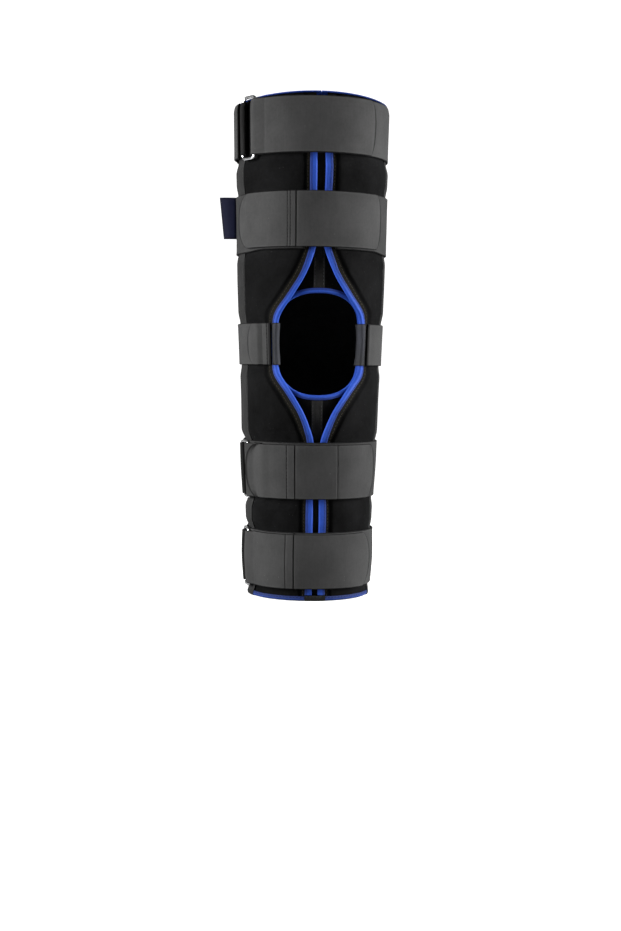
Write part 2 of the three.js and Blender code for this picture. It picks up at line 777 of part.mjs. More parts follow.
function thighStrap() {
  const start = angleOf(thighStrapSeam, bands.thigh.height);
  return strap(bands.thigh, lay(start, 360 - start, baseLift, baseLift, strapThickness), straightRows);
}

const kneeStart = angleOf(flapWidest + kneeStrapSetback, kneeHeight);

function kneeStrap() {
  const stations = lay(kneeStart, 360 - kneeStrapEndAngle, baseLift, baseLift, strapThickness);
  return strap(bands.knee, stations, straightRows);
}

// Hook tab sewn on beside the patella opening, over the knee strap's end
function kneeHookTab() {
  const whole = -kneeStrapEndAngle;
  const climb = angleOf(hookClimb, kneeHeight);
  const stations = [
    ...lay(-kneeStart, whole + 2 * climb, baseLift, baseLift, closingThickness),
    ...lay(whole + climb / 2, whole, closingLift, closingLift, closingThickness),
    ...roundedEnd(whole, strapEnds.kneeLeft, endShares, () => closingLift, closingThickness),
  ];
  return strap(bands.knee, stations, roundedRows);
}

// Tab folded over the flap's binding, round the edge of the patella opening and onto the tongue's back
function kneeTab(side) {
  const rows = [-1, -0.5, 0, 0.5, 1];
  const power = patellaRoundness;
  const openingEdge = (away) => {
    const rise = Math.min(away / patellaHalfHeight, 1);
    return patellaHalfWidth * (1 - rise ** power) ** (1 / power);
  };
  // Corners of the tab's section, off this far from the cloth that it is folded over
  const corners = (row, off) => {
    const away = (Math.abs(row) * kneeStrapWidth) / 2;
    const atOpening = openingEdge(away) - liningGap - off;
    const atFlap = Math.min(openingEdge(away), flapEdgeAt(kneeHeight + away, 0)) - liningGap - off;
    const ledge = flapBindingInside - bindingThickness - clearance - off;
    return [
      [flapWidest + kneeTabReach, kneeTabLift + off],
      [atFlap, kneeTabLift + off],
      [atFlap, ledge],
      [atOpening, ledge],
      [atOpening, kneeTabInside - off],
      [patellaHalfWidth + kneeTabReach, kneeTabInside - off],
    ].map(([distance, lift]) => {
      const height = kneeHeight + (row * kneeStrapWidth) / 2;
      return skinPoint(side * angleOf(distance, kneeHeight), height, lift);
    });
  };
  return plate(rows.map((row) => corners(row, tabThickness)), rows.map((row) => corners(row, 0)));
}

// Plain flag label: a foot on the thigh strap and a leaf that stands out
function label() {
  const middle = bands.thigh.height + labelRise;
  const band = { height: middle, width: labelHeight };
  const foot = labelAngle - angleOf(labelFoot, middle);
  const back = labelAngle - angleOf(labelThickness, middle);
  const tip = closingLift + labelReach;
  return strap(band, [
    [{ angle: foot, lift: closingLift + labelThickness }, { angle: foot, lift: closingLift }],
    [{ angle: back, lift: closingLift + labelThickness }, { angle: labelAngle, lift: closingLift }],
    [{ angle: back, lift: tip }, { angle: labelAngle, lift: tip }],
  ], straightRows);
}

function cloth(color, roughness = 0.9) {
  return new THREE.MeshStandardMaterial({ color, roughness, metalness: 0 });
}

const materials = {
  padding: cloth(0x161618),
  strap: cloth(0x4a4a4c, 0.8),
  binding: cloth(0x2a45a8, 0.6),
  tape: cloth(0x1c1c1e, 0.8),
  ribbon: cloth(0x2c2c2e, 0.8),
  label: cloth(0x14162d, 0.7),
  ring: new THREE.MeshStandardMaterial({ color: 0xd0d2d6, roughness: 0.15, metalness: 1 }),
};

const brace = new THREE.Group();

function add(name, geometry, material) {
  const mesh = new THREE.Mesh(geometry, material);
  mesh.name = name;
  brace.add(mesh);
}

const hemStart = angleOf(seamTapeHalfWidth + clearance, 0);
const hemBreaks = [pocketFront - gapAngle, pocketBack + gapAngle];
const tapeHalfAngle = angleOf(seamTapeHalfWidth, 0);
const patellaTop = kneeHeight + patellaHalfHeight + patellaBindingWidth + clearance;
const patellaBottom = kneeHeight - patellaHalfHeight - patellaBindingWidth - clearance;

add('back_panel', backPanel(), materials.padding);
for (const [word, side] of [['left', -1], ['right', 1]]) {
  add(`${word}_flap`, flap(side), materials.padding);
  add(`${word}_flap_binding`, flapBinding(side), materials.binding);
  add(`${word}_stay_pocket`, stayPocket(side), materials.tape);
  const sideHem = hemBinding(side * hemStart, side * hemBreaks[0], bindingFront);
  add(`${word}_hem_binding`, sideHem, materials.binding);
  add(`${word}_knee_tab`, kneeTab(side), materials.ribbon);
}
add('back_hem_binding', hemBinding(hemBreaks[1], 360 - hemBreaks[1], bindingFront), materials.binding);
const seamTape = hemBinding(-tapeHalfAngle, tapeHalfAngle, flapBindingLift + bindingThickness);
add('seam_tape', seamTape, materials.tape);
add('rim_binding', rimBinding(), materials.binding);
add('tongue', tongue(), materials.padding);
add('tongue_binding', tongueBinding(), materials.binding);
add('patella_binding', patellaBinding(), materials.binding);
add('upper_tongue_tape', tongueTape(patellaTop, braceLength - rimLegInside - clearance), materials.ribbon);
add('lower_tongue_tape', tongueTape(tongueBottom, patellaBottom), materials.ribbon);

add('top_strap', ringStrap('top', strapEnds.topRight), materials.strap);
add('hem_strap', ringStrap('hem', strapEnds.hemRight), materials.strap);
add('shin_strap', ringStrap('shin', strapEnds.shinFolded), materials.strap);
for (const name of Object.keys(ringStraps)) {
  add(`${name}_anchor_loop`, anchorLoop(name), materials.tape);
  add(`${name}_ring`, ring(name), materials.ring);
}
const shinClosing = closingStrap('shin', strapEnds.shinLeft, strapEnds.shinRight, shinClosingLift);
add('shin_closing_strap', shinClosing, materials.strap);
add('thigh_strap', thighStrap(), materials.strap);
const thighClosing = closingStrap('thigh', strapEnds.thighLeft, strapEnds.thighRight, () => closingLift);
add('thigh_closing_strap', thighClosing, materials.strap);
add('knee_strap', kneeStrap(), materials.strap);
add('knee_hook_tab', kneeHookTab(), materials.strap);
add('label', label(), materials.label);

export default brace;
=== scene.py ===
import math

import bpy
import numpy as np
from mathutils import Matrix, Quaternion, Vector


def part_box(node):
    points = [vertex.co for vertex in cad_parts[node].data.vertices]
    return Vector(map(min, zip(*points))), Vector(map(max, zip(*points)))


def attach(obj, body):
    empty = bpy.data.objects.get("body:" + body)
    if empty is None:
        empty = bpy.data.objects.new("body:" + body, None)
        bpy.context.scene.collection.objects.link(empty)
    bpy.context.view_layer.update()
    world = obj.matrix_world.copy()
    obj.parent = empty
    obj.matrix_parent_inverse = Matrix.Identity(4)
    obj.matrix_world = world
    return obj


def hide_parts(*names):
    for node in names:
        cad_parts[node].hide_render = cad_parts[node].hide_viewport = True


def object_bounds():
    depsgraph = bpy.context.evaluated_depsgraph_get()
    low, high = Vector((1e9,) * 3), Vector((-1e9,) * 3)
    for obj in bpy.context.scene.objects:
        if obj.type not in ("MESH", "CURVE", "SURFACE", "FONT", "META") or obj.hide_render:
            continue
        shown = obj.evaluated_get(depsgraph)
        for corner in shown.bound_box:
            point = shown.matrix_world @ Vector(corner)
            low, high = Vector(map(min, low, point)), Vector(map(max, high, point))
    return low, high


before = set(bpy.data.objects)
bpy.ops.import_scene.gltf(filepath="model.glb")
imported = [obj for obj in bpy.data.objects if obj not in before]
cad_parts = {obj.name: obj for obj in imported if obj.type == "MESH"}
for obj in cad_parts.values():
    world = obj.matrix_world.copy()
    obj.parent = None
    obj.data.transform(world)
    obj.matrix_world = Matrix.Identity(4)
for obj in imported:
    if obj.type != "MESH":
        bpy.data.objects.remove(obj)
cadLow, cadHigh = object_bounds()
print("frame loaded")

mm = 0.001

# Camera: the photo's viewing angle. Angles are in degrees, lengths in metres.
view = {
    "azimuth": -6.5,  # from straight ahead, towards the viewer's left
    "distance": 1.4,
    "eyeHeight": 0.2155,
    "tiltDown": 3.86,
    "panRight": 0.058,
    "roll": 0.6,  # leans the brace's top to the right
    "lens": 57.07,
}


def setCamera():
    turn = math.radians(view["azimuth"])
    back = Vector((math.sin(turn), -math.cos(turn), 0))
    tilt = math.radians(view["tiltDown"])
    ahead = -back * math.cos(tilt) - Vector((0, 0, math.sin(tilt)))
    data = bpy.data.cameras.new("photoCamera")
    data.lens = view["lens"]
    camera = bpy.data.objects.new("photoCamera", data)
    camera.rotation_mode = "QUATERNION"
    camera.location = back * view["distance"] + Vector((0, 0, view["eyeHeight"]))
    pan = Quaternion((0, 1, 0), -math.radians(view["panRight"]))
    roll = Quaternion((0, 0, 1), math.radians(view["roll"]))
    camera.rotation_quaternion = ahead.to_track_quat("-Z", "Y") @ pan @ roll
    bpy.context.scene.collection.objects.link(camera)
    bpy.context.scene.camera = camera


setCamera()
print("camera set")

# Leg form. "left" is the viewer's left, at -X, and the front faces -Y. Angles are in degrees round
# the leg, 0 at the front seam and positive towards +X. A lift is a distance out from the padding's
# outer face.
brace = {
    "length": cadHigh.z,
    "halfWidth": 72 * mm,  # at the upper rim
    "rimDip": 3 * mm,  # the upper rim is lower at the sides and back
    "strapPress": 1.5 * mm,  # how far a strap presses the padding in
    "strapEase": 12 * mm,  # the dent runs out over this height beside a strap
    "topPress": 1.6,  # the top strap's dent, as a share of the others'
    "topPull": 2.4 * mm,  # the upper rim is drawn in this much
    "topPullEase": 12 * mm,
    "ringPress": 2 * mm,  # the lower rings lie this much deeper
    "ringPressReach": 42,  # degrees from a ring's middle to the end of its dent
    "ringPressEase": 26,
    "meanRadius": 66 * mm,  # for distances round the leg in the weaves
}

sides = {"left": -1, "right": 1}

# heights as shares of the length, half widths as shares of the upper rim's, depths as shares of
# the half width
legHeight = [0, 0.08, 0.17, 0.26, 0.38, 0.51, 0.65, 0.8, 1]
legHalfWidth = [0.8, 0.842, 0.824, 0.866, 0.893, 0.929, 0.958, 0.973, 1]
legFront = [1.02, 1.02, 1.02, 1.02, 1.03, 1.05, 1.04, 1.03, 1.03]
legBack = [1.02, 1.04, 1.07, 1.09, 1.06, 1.0, 1.03, 1.07, 1.08]
formSteps = np.array([-9, -4.5, 0, 4.5, 9]) * mm  # the shares are averaged over these heights

layers = {
    "padding": 4.5 * mm,
    "tongue": 2.2 * mm,
    "strap": 2 * mm,
    "closing": 1.8 * mm,
    "binding": 0.8 * mm,
    "pocket": 1.5 * mm,
    "loop": 1 * mm,
    "tab": 1.2 * mm,
    "gap": 0.3 * mm,
    "liningGap": 0.6 * mm,
    "edgePress": 1.8 * mm,
    "liningPress": 1.4 * mm,
    "ringWire": 2.8 * mm,
}
baseLift = layers["gap"]
closingLift = baseLift + layers["strap"] + layers["gap"]
ringLift = closingLift + layers["ringWire"] / 2
foldedLift = ringLift + layers["ringWire"] / 2 + layers["gap"]
marginLift = -layers["edgePress"]
flapBindingLift = marginLift + layers["liningGap"]
insideLift = -layers["padding"] - layers["liningGap"]
flapInnerLift = -layers["padding"] + layers["liningPress"]
flapBindingInside = flapInnerLift - layers["liningGap"]
tapeLift = flapBindingInside - layers["binding"] - layers["liningGap"]
tongueOuter = tapeLift - layers["binding"] - layers["liningGap"]
tongueInner = tongueOuter - layers["tongue"]
tongueInside = tongueInner - layers["liningGap"]

ringAngles = {"top": -59, "shin": -77, "hem": -82}
deepRings = ("shin", "hem")
bandNodes = ("hem_strap", "shin_strap", "knee_strap", "thigh_strap", "top_strap")
bands = {name: (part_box(name)[0].z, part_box(name)[1].z) for name in bandNodes}
kneeHeight = sum(bands["knee_strap"]) / 2


def smooth(share):
    share = np.clip(share, 0, 1)
    return share * share * (3 - 2 * share)


def mix(low, high, share):
    return low + (high - low) * share


def hump(distance, width):
    return np.exp(-((distance / width) ** 2))


def readForm(values, height):
    levels = [(height + step) / brace["length"] for step in formSteps]
    return sum(np.interp(level, legHeight, values) for level in levels) / len(levels)


def halfWidthAt(height):
    return brace["halfWidth"] * readForm(legHalfWidth, height)


def angleOf(distance, height):
    return np.degrees(distance / halfWidthAt(height))


def middleOf(node):
    return sum(bands[node]) / 2


# distance round the leg at a strap's middle height, and back to the angle
def arcOf(angle, node):
    return math.radians(angle) * float(halfWidthAt(middleOf(node)))


def angleIn(arc, node):
    return np.degrees(arc / float(halfWidthAt(middleOf(node))))


def beyondBand(node, height):
    low, high = bands[node]
    return np.maximum(np.abs(height - (low + high) / 2) - (high - low) / 2, 0)


# share of the usual strap dent at a height; the top strap presses harder
def pressAt(height):
    press = np.zeros(np.shape(height))
    for node in bands:
        strength = brace["topPress"] if node == "top_strap" else 1
        dent = smooth(1 - beyondBand(node, height) / brace["strapEase"])
        press = np.maximum(press, strength * dent)
    return press


# share of the extra dent under the two lower rings
def ringPressAt(angle, height):
    press = 0
    for word in deepRings:
        away = np.abs((angle - ringAngles[word] + 180) % 360 - 180)
        across = smooth((brace["ringPressReach"] - away) / brace["ringPressEase"])
        press = press + across * smooth(1 - beyondBand(f"{word}_strap", height) / brace["strapEase"])
    return press


def legPoint(angle, height, lift):
    angle, height, lift = np.broadcast_arrays(angle, height, lift)
    turn = np.radians(angle)
    halfWidth = halfWidthAt(height)
    share = np.where(np.cos(turn) >= 0, readForm(legFront, height), readForm(legBack, height))
    depth = halfWidth * share
    outX = np.sin(turn) / halfWidth
    outY = -np.cos(turn) / depth
    size = np.hypot(outX, outY)
    pull = brace["topPull"] * smooth(1 - (brace["length"] - height) / brace["topPullEase"])
    press = brace["strapPress"] * pressAt(height) + brace["ringPress"] * ringPressAt(angle, height)
    reach = lift - press - pull
    x = halfWidth * np.sin(turn) + reach * outX / size
    y = -depth * np.cos(turn) + reach * outY / size
    return np.stack([x, y, height], axis=-1)


def rimHeight(angle):
    turn = np.minimum(np.abs(angle - 360 * np.round(np.asarray(angle) / 360)), 90)
    return brace["length"] - brace["rimDip"] * np.sin(np.radians(turn)) ** 2


# soft irregular waves, the same on each run; u and v are in metres
def ripple(u, v, seed, waveU, waveV, count=7):
    source = np.random.default_rng(seed)
    total = np.zeros(np.broadcast(u, v).shape)
    for _ in range(count):
        rateU, rateV = source.uniform(-1, 1, 2)
        phase = source.uniform(0, 2 * math.pi)
        total = total + np.sin(2 * math.pi * (rateU * u / waveU + rateV * v / waveV) + phase)
    return total / math.sqrt(count)


# Mesh making. A body is a dictionary of points, faces, weave places, edge distances and a material
# index; a piece is one object made of several bodies.
sharpAngle = math.radians(55)  # faces that meet at more than this stay sharp


def spread(start, end, step):
    return np.linspace(start, end, max(2, int(abs(end - start) / step) + 1))


def runLengths(line):
    return np.concatenate([[0], np.cumsum(np.linalg.norm(np.diff(line, axis=0), axis=1))])


# directions square to a flat line, to its left
def leftOf(line):
    tangent = np.gradient(line, axis=0)
    tangent /= np.maximum(np.linalg.norm(tangent, axis=1, keepdims=True), 1e-9)
    return np.stack([-tangent[:, 1], tangent[:, 0]], -1)


# there along one side and back along the other
def thereAndBack(first, second=None, axis=0):
    second = first if second is None else second
    return np.concatenate([first, np.flip(second, axis)], axis=axis)


# closed body through runs of closed sections, whose points j and -1-j face each other
def sweep(sections, place, edge, closed=False):
    runs, sides = sections.shape[:2]
    grid = np.arange(runs * sides).reshape(runs, sides)
    nextRun = np.roll(grid, -1, axis=0) if closed else grid[1:]
    thisRun = grid if closed else grid[:-1]
    faces = [np.stack([thisRun, nextRun, np.roll(nextRun, -1, axis=1), np.roll(thisRun, -1, axis=1)], -1)]
    if not closed:
        half = sides // 2
        for row, flip in ((grid[0], False), (grid[-1], True)):
            near, far = row[:half], row[::-1][:half]
            cap = np.stack([near[:-1], near[1:], far[1:], far[:-1]], -1)
            faces.append(cap[:, ::-1] if flip else cap)
    faces = np.concatenate([f.reshape(-1, 4) for f in faces])
    points = sections.reshape(-1, 3)
    corners = points[faces]
    normals = np.cross(corners[:, 1] - corners[:, 0], corners[:, 2] - corners[:, 0])
    normals += np.cross(corners[:, 2] - corners[:, 0], corners[:, 3] - corners[:, 0])
    if np.sum(corners.mean(axis=1) * normals) < 0:
        faces = faces[:, ::-1]
    places = np.zeros((runs, sides, 3))
    places[..., :2] = np.stack(np.broadcast_arrays(place[0], place[1], np.zeros((runs, sides)))[:2], -1)
    edges = np.broadcast_to(edge, (runs, sides)).reshape(-1)
    return {"points": points, "faces": faces, "place": places.reshape(-1, 3), "edge": edges, "slot": 0}


def makePiece(name, bodies, materials, node):
    starts = np.cumsum([0] + [len(body["points"]) for body in bodies])
    mesh = bpy.data.meshes.new(name)
    points = np.concatenate([body["points"] for body in bodies])
    faces = np.concatenate([body["faces"] + start for body, start in zip(bodies, starts)])
    mesh.from_pydata(points.tolist(), [], faces.tolist())
    slots = np.concatenate([np.full(len(body["faces"]), body["slot"]) for body in bodies])
    mesh.polygons.foreach_set("material_index", slots.astype(np.int32))
    place = mesh.attributes.new("place", "FLOAT_VECTOR", "POINT")
    place.data.foreach_set("vector", np.concatenate([body["place"] for body in bodies]).ravel())
    edge = mesh.attributes.new("edge", "FLOAT", "POINT")
    edge.data.foreach_set("value", np.concatenate([body["edge"] for body in bodies]).ravel())
    mesh.shade_smooth()
    mesh.set_sharp_from_angle(angle=sharpAngle)
    for material in materials:
        mesh.materials.append(material)
    piece = bpy.data.objects.new(name, mesh)
    bpy.context.scene.collection.objects.link(piece)
    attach(piece, "root")
    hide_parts(node)
    return piece


# stitches along a line of points, in a piece's second material; each is a small bent bead that is
# partly sunk in the cloth
thread = {
    "pitch": 3.2 * mm,
    "length": 2.3 * mm,
    "radius": 0.26 * mm,
    "strapRadius": 0.22 * mm,
    "fineRadius": 0.2 * mm,
    "ribbonRadius": 0.18 * mm,
    "sides": 6,
    "bow": 0.16 * mm,
    "sunk": 0.3,  # share of the radius that lies in the cloth
    "lead": 0.15,  # first stitch, as a share of the pitch
    "scatter": 0.05,
    "seed": 11,
}
beadShares = np.array([0, 0.1, 0.3, 0.5, 0.7, 0.9, 1])
beadGirths = np.array([0.3, 0.8, 1, 1, 1, 0.8, 0.3])


def stitches(line, outward, radius=thread["radius"]):
    along = runLengths(line)
    count = int(along[-1] / thread["pitch"])
    source = np.random.default_rng(thread["seed"])
    scatter = source.uniform(-thread["scatter"], thread["scatter"], count)
    starts = (np.arange(count) + thread["lead"] + scatter) * thread["pitch"]
    at = starts[:, None] + beadShares * thread["length"]
    middle, up = [np.stack([np.interp(at, along, values[:, i]) for i in range(3)], -1)
                  for values in (line, outward)]
    up /= np.linalg.norm(up, axis=-1, keepdims=True)
    ahead = np.gradient(middle, axis=1)
    ahead /= np.linalg.norm(ahead, axis=-1, keepdims=True)
    across = np.cross(ahead, up)
    rise = thread["bow"] * np.sin(math.pi * beadShares) - thread["sunk"] * radius
    middle = middle + up * rise[None, :, None]
    roll = np.linspace(0, 2 * math.pi, thread["sides"], endpoint=False) + math.pi / thread["sides"]
    ring = across[:, :, None] * np.cos(roll)[:, None] + up[:, :, None] * np.sin(roll)[:, None]
    sections = middle[:, :, None] + ring * (beadGirths * radius)[None, :, None, None]
    bodies = [sweep(section, (0, 0), 1) for section in sections]
    joined = {key: np.concatenate([body[key] for body in bodies]) for key in ("points", "place", "edge")}
    size = sections.shape[1] * sections.shape[2]
    joined["faces"] = np.concatenate([body["faces"] + i * size for i, body in enumerate(bodies)])
    joined["slot"] = 1
    return [joined]


# a line on the leg and its outward directions, for stitches
def legLine(angle, height, lift):
    line = legPoint(angle, height, lift)
    return line, legPoint(angle, height, np.asarray(lift) + mm) - line


# a row of stitches up the leg, between two heights
def upStitches(angleAt, low, high, lift, radius=thread["radius"]):
    run = spread(low, high, 1 * mm)
    line, out = legLine(angleAt(run), run, lift)
    return stitches(line, out, radius)


# stitches along a binding, on the side that the way gives: 1 outside, -1 inside
def edgeStitches(pointAt, shares, inset, lift, way, radius=thread["radius"]):
    line = pointAt(shares, inset, lift)
    return stitches(line, pointAt(shares, inset, lift + way * mm) - line, radius)


# Shader nodes
def put(tree, kind, inputs=None, **settings):
    node = tree.nodes.new(kind)
    for key, value in settings.items():
        setattr(node, key, value)
    for key, value in (inputs or {}).items():
        if isinstance(value, bpy.types.NodeSocket):
            tree.links.new(value, node.inputs[key])
        else:
            node.inputs[key].default_value = value
    return node


def calc(tree, operation, *values):
    return put(tree, "ShaderNodeMath", dict(enumerate(values)), operation=operation).outputs[0]


def rescale(tree, value, low, high, newLow=0.0, newHigh=1.0):
    inputs = {"Value": value, "From Min": low, "From Max": high, "To Min": newLow, "To Max": newHigh}
    return put(tree, "ShaderNodeMapRange", inputs).outputs[0]


def stretched(tree, vector, scale):
    return put(tree, "ShaderNodeVectorMath", {0: vector, 1: scale}, operation="MULTIPLY").outputs[0]


def noise(tree, vector, scale, detail=2.0, roughness=0.5):
    inputs = {"Vector": vector, "Scale": scale, "Detail": detail, "Roughness": roughness}
    return put(tree, "ShaderNodeTexNoise", inputs).outputs[0]


def blend(tree, share, first, second):
    return put(tree, "ShaderNodeMix", {0: share, 6: first, 7: second}, data_type="RGBA").outputs[2]


def newGroup(name, inputs, outputs):
    tree = bpy.data.node_groups.new(name, "ShaderNodeTree")
    for label, kind, value in inputs:
        socket = tree.interface.new_socket(label, in_out="INPUT", socket_type=f"NodeSocket{kind}")
        if value is not None:
            socket.default_value = value
    for label in outputs:
        tree.interface.new_socket(label, in_out="OUTPUT", socket_type="NodeSocketFloat")
    start = tree.nodes.new("NodeGroupInput").outputs
    end = tree.nodes.new("NodeGroupOutput").inputs
    return tree, start, end


# upright ribs across a strap, with threads that run along it
def makeRibbing():
    tree, start, end = newGroup(
        "ribbing",
        [("Place", "Vector", None), ("Rib Pitch", "Float", 0.0009), ("Thread Pitch", "Float", 0.0006),
         ("Wobble", "Float", 0.0003)],
        ["Height", "Streak"],
    )
    place = start["Place"]
    parts = put(tree, "ShaderNodeSeparateXYZ", {0: place}).outputs
    drift = calc(tree, "SUBTRACT", noise(tree, stretched(tree, place, (300, 60, 1)), 1.0), 0.5)
    around = calc(tree, "MULTIPLY_ADD", drift, start["Wobble"], parts[0])
    ribTurn = calc(tree, "DIVIDE", calc(tree, "MULTIPLY", around, 2 * math.pi), start["Rib Pitch"])
    threadTurn = calc(tree, "DIVIDE", calc(tree, "MULTIPLY", parts[1], 2 * math.pi), start["Thread Pitch"])
    rib = calc(tree, "MULTIPLY_ADD", calc(tree, "SINE", ribTurn), 0.5, 0.5)
    strand = calc(tree, "MULTIPLY_ADD", calc(tree, "SINE", threadTurn), 0.5, 0.5)
    weave = calc(tree, "MULTIPLY", rib, calc(tree, "MULTIPLY_ADD", strand, 0.4, 0.6))
    tree.links.new(weave, end["Height"])
    fine = noise(tree, stretched(tree, place, (1500, 40, 1)), 1.0, 3.0, 0.7)
    tree.links.new(rescale(tree, fine, 0.3, 0.7), end["Streak"])
    return tree


# plain over and under weave
def makeWeave():
    tree, start, end = newGroup(
        "plainWeave", [("Place", "Vector", None), ("Pitch", "Float", 0.0008)], ["Height"],
    )
    parts = put(tree, "ShaderNodeSeparateXYZ", {0: start["Place"]}).outputs
    halfTurns = [calc(tree, "MULTIPLY", part, math.pi) for part in parts[:2]]
    waves = [calc(tree, "SINE", calc(tree, "DIVIDE", turn, start["Pitch"])) for turn in halfTurns]
    product = calc(tree, "MULTIPLY", *waves)
    tree.links.new(calc(tree, "MULTIPLY_ADD", product, 0.5, 0.5), end["Height"])
    return tree


# brushed pile: fine fibres, clumps and broad tone
def makePile():
    tree, start, end = newGroup(
        "brushedPile", [("Place", "Vector", None), ("Fibre", "Float", 2600.0)], ["Height", "Tone"],
    )
    fibre = noise(tree, start["Place"], start["Fibre"], 2.0, 0.7)
    clump = noise(tree, start["Place"], 420.0, 3.0, 0.6)
    broad = noise(tree, start["Place"], 28.0, 3.0, 0.55)
    height = calc(tree, "MULTIPLY_ADD", fibre, 0.6, calc(tree, "MULTIPLY", clump, 0.5))
    tree.links.new(height, end["Height"])
    tone = calc(tree, "MULTIPLY_ADD", clump, 0.35, calc(tree, "MULTIPLY", broad, 0.75))
    tree.links.new(rescale(tree, tone, 0.35, 0.75), end["Tone"])
    return tree


# rubbed cloth near an edge or fold, broken up by noise
def makeEdgeWear():
    tree, start, end = newGroup(
        "edgeWear",
        [("Edge", "Float", 1.0), ("Place", "Vector", None), ("Width", "Float", 0.0012)],
        ["Mask"],
    )
    near = calc(tree, "SUBTRACT", 1.0, calc(tree, "DIVIDE", start["Edge"], start["Width"]))
    near = put(tree, "ShaderNodeClamp", {"Value": near}).outputs[0]
    breaks = rescale(tree, noise(tree, start["Place"], 260.0, 3.0, 0.65), 0.35, 0.65, 0.35, 1.0)
    tree.links.new(calc(tree, "MULTIPLY", near, breaks), end["Mask"])
    return tree


# sparse specks of lint
def makeLint():
    tree, start, end = newGroup("lint", [("Place", "Vector", None), ("Amount", "Float", 0.1)], ["Mask"])
    cells = put(tree, "ShaderNodeTexVoronoi", {"Vector": start["Place"], "Scale": 330.0})
    speck = rescale(tree, cells.outputs["Distance"], 0.16, 0.1)
    chance = put(tree, "ShaderNodeSeparateColor", {0: cells.outputs["Color"]}).outputs[0]
    kept = calc(tree, "LESS_THAN", chance, start["Amount"])
    tree.links.new(calc(tree, "MULTIPLY", speck, kept), end["Mask"])
    return tree


groups = {
    "ribbing": makeRibbing(),
    "weave": makeWeave(),
    "pile": makePile(),
    "edgeWear": makeEdgeWear(),
    "lint": makeLint(),
}


def fillGroup(tree, name, inputs):
    return put(tree, "ShaderNodeGroup", inputs, node_tree=groups[name]).outputs


def newMaterial(name, constants):
    material = bpy.data.materials.new(name)
    material.use_nodes = True
    tree = material.node_tree
    shader = tree.nodes["Principled BSDF"]
    for key, value in constants.items():
        shader.inputs[key].default_value = value
    return material, tree, shader


# where a point lies on the piece, where it lies in the weave, and how far from an edge it is
def bodyPlace(tree):
    return put(tree, "ShaderNodeTexCoord").outputs["Object"]


def weavePlace(tree):
    return put(tree, "ShaderNodeAttribute", attribute_name="place").outputs["Vector"]


def edgeAway(tree):
    return put(tree, "ShaderNodeAttribute", attribute_name="edge").outputs["Fac"]


def bumpInto(tree, shader, bumps):
    normal = None
    for height, strength, distance in bumps:
        inputs = {"Height": height, "Strength": strength, "Distance": distance}
        if normal:
            inputs["Normal"] = normal
        normal = put(tree, "ShaderNodeBump", inputs).outputs[0]
    tree.links.new(normal, shader.inputs["Normal"])


def grey(level, tint=(1, 1, 1)):
    return (level * tint[0], level * tint[1], level * tint[2], 1)


# webbing and tapes: a ribbed weave under a brushed pile, rubbed near its edges, with a dark cut edge
# that is also painted shade, widened along tips, seams and steps
strapWeave = {
    "ribPitch": 0.9 * mm, "threadPitch": 0.6 * mm, "fibre": 2200.0, "wornWidth": 2.2 * mm, "worn": 0.3,
    "lintAmount": 0.03, "lintShows": 0.12, "streaks": 0.25, "edgeShadeInner": 0.4 * mm, "edgeShadeOuter": 1.0 * mm,
    "edgeShadeShows": 0.94, "rough": (0.9, 0.75), "ribBump": (0.5, 0.2 * mm), "pileBump": (0.35, 0.12 * mm),
}
strapShader = {
    "Sheen Weight": 0.015, "Sheen Roughness": 0.4, "Sheen Tint": (0.8, 0.8, 0.85, 1), "IOR": 1.45,
    "Specular IOR Level": 0.08,
}


def makeStrapCloth(name, dark, light, rubbed, cutEdgeShade):
    material, tree, shader = newMaterial(name, strapShader)
    body, place, edge = bodyPlace(tree), weavePlace(tree), edgeAway(tree)
    weave = strapWeave
    pitches = {"Rib Pitch": weave["ribPitch"], "Thread Pitch": weave["threadPitch"]}
    ribs = fillGroup(tree, "ribbing", {"Place": place, **pitches})
    pile = fillGroup(tree, "pile", {"Place": body, "Fibre": weave["fibre"]})
    worn = fillGroup(tree, "edgeWear", {"Edge": edge, "Place": body, "Width": weave["wornWidth"]})
    lint = fillGroup(tree, "lint", {"Place": body, "Amount": weave["lintAmount"]})
    soft = calc(tree, "MULTIPLY", pile["Tone"], 1 - weave["streaks"])
    tone = calc(tree, "MULTIPLY_ADD", ribs["Streak"], weave["streaks"], soft)
    colour = blend(tree, tone, dark, light)
    colour = blend(tree, calc(tree, "MULTIPLY", worn["Mask"], weave["worn"]), colour, rubbed)
    colour = blend(tree, calc(tree, "MULTIPLY", lint["Mask"], weave["lintShows"]), colour, grey(0.2))
    # dark cut edge; near tips and seams the same band is painted shade
    cutEdgeShadeMask = rescale(tree, edge, weave["edgeShadeInner"], weave["edgeShadeOuter"], weave["edgeShadeShows"], 0.0)
    tree.links.new(blend(tree, cutEdgeShadeMask, colour, cutEdgeShade), shader.inputs["Base Color"])
    tree.links.new(rescale(tree, tone, 0, 1, *weave["rough"]), shader.inputs["Roughness"])
    bumpInto(tree, shader, [(ribs["Height"], *weave["ribBump"]), (pile["Height"], *weave["pileBump"])])
    return material


# padded panels: a dull brushed pile over a plain weave, with specks of lint
paddingWeave = {
    "pitch": 0.6 * mm, "fibre": 3000.0, "lintAmount": 0.08, "lintShows": 0.1, "rough": (0.95, 0.78),
    "weaveBump": (0.25, 0.12 * mm), "pileBump": (0.4, 0.15 * mm),
}
paddingShader = {
    "Sheen Weight": 0.005, "Sheen Roughness": 0.4, "Sheen Tint": (0.75, 0.78, 0.85, 1), "IOR": 1.4,
    "Specular IOR Level": 0.03,
}


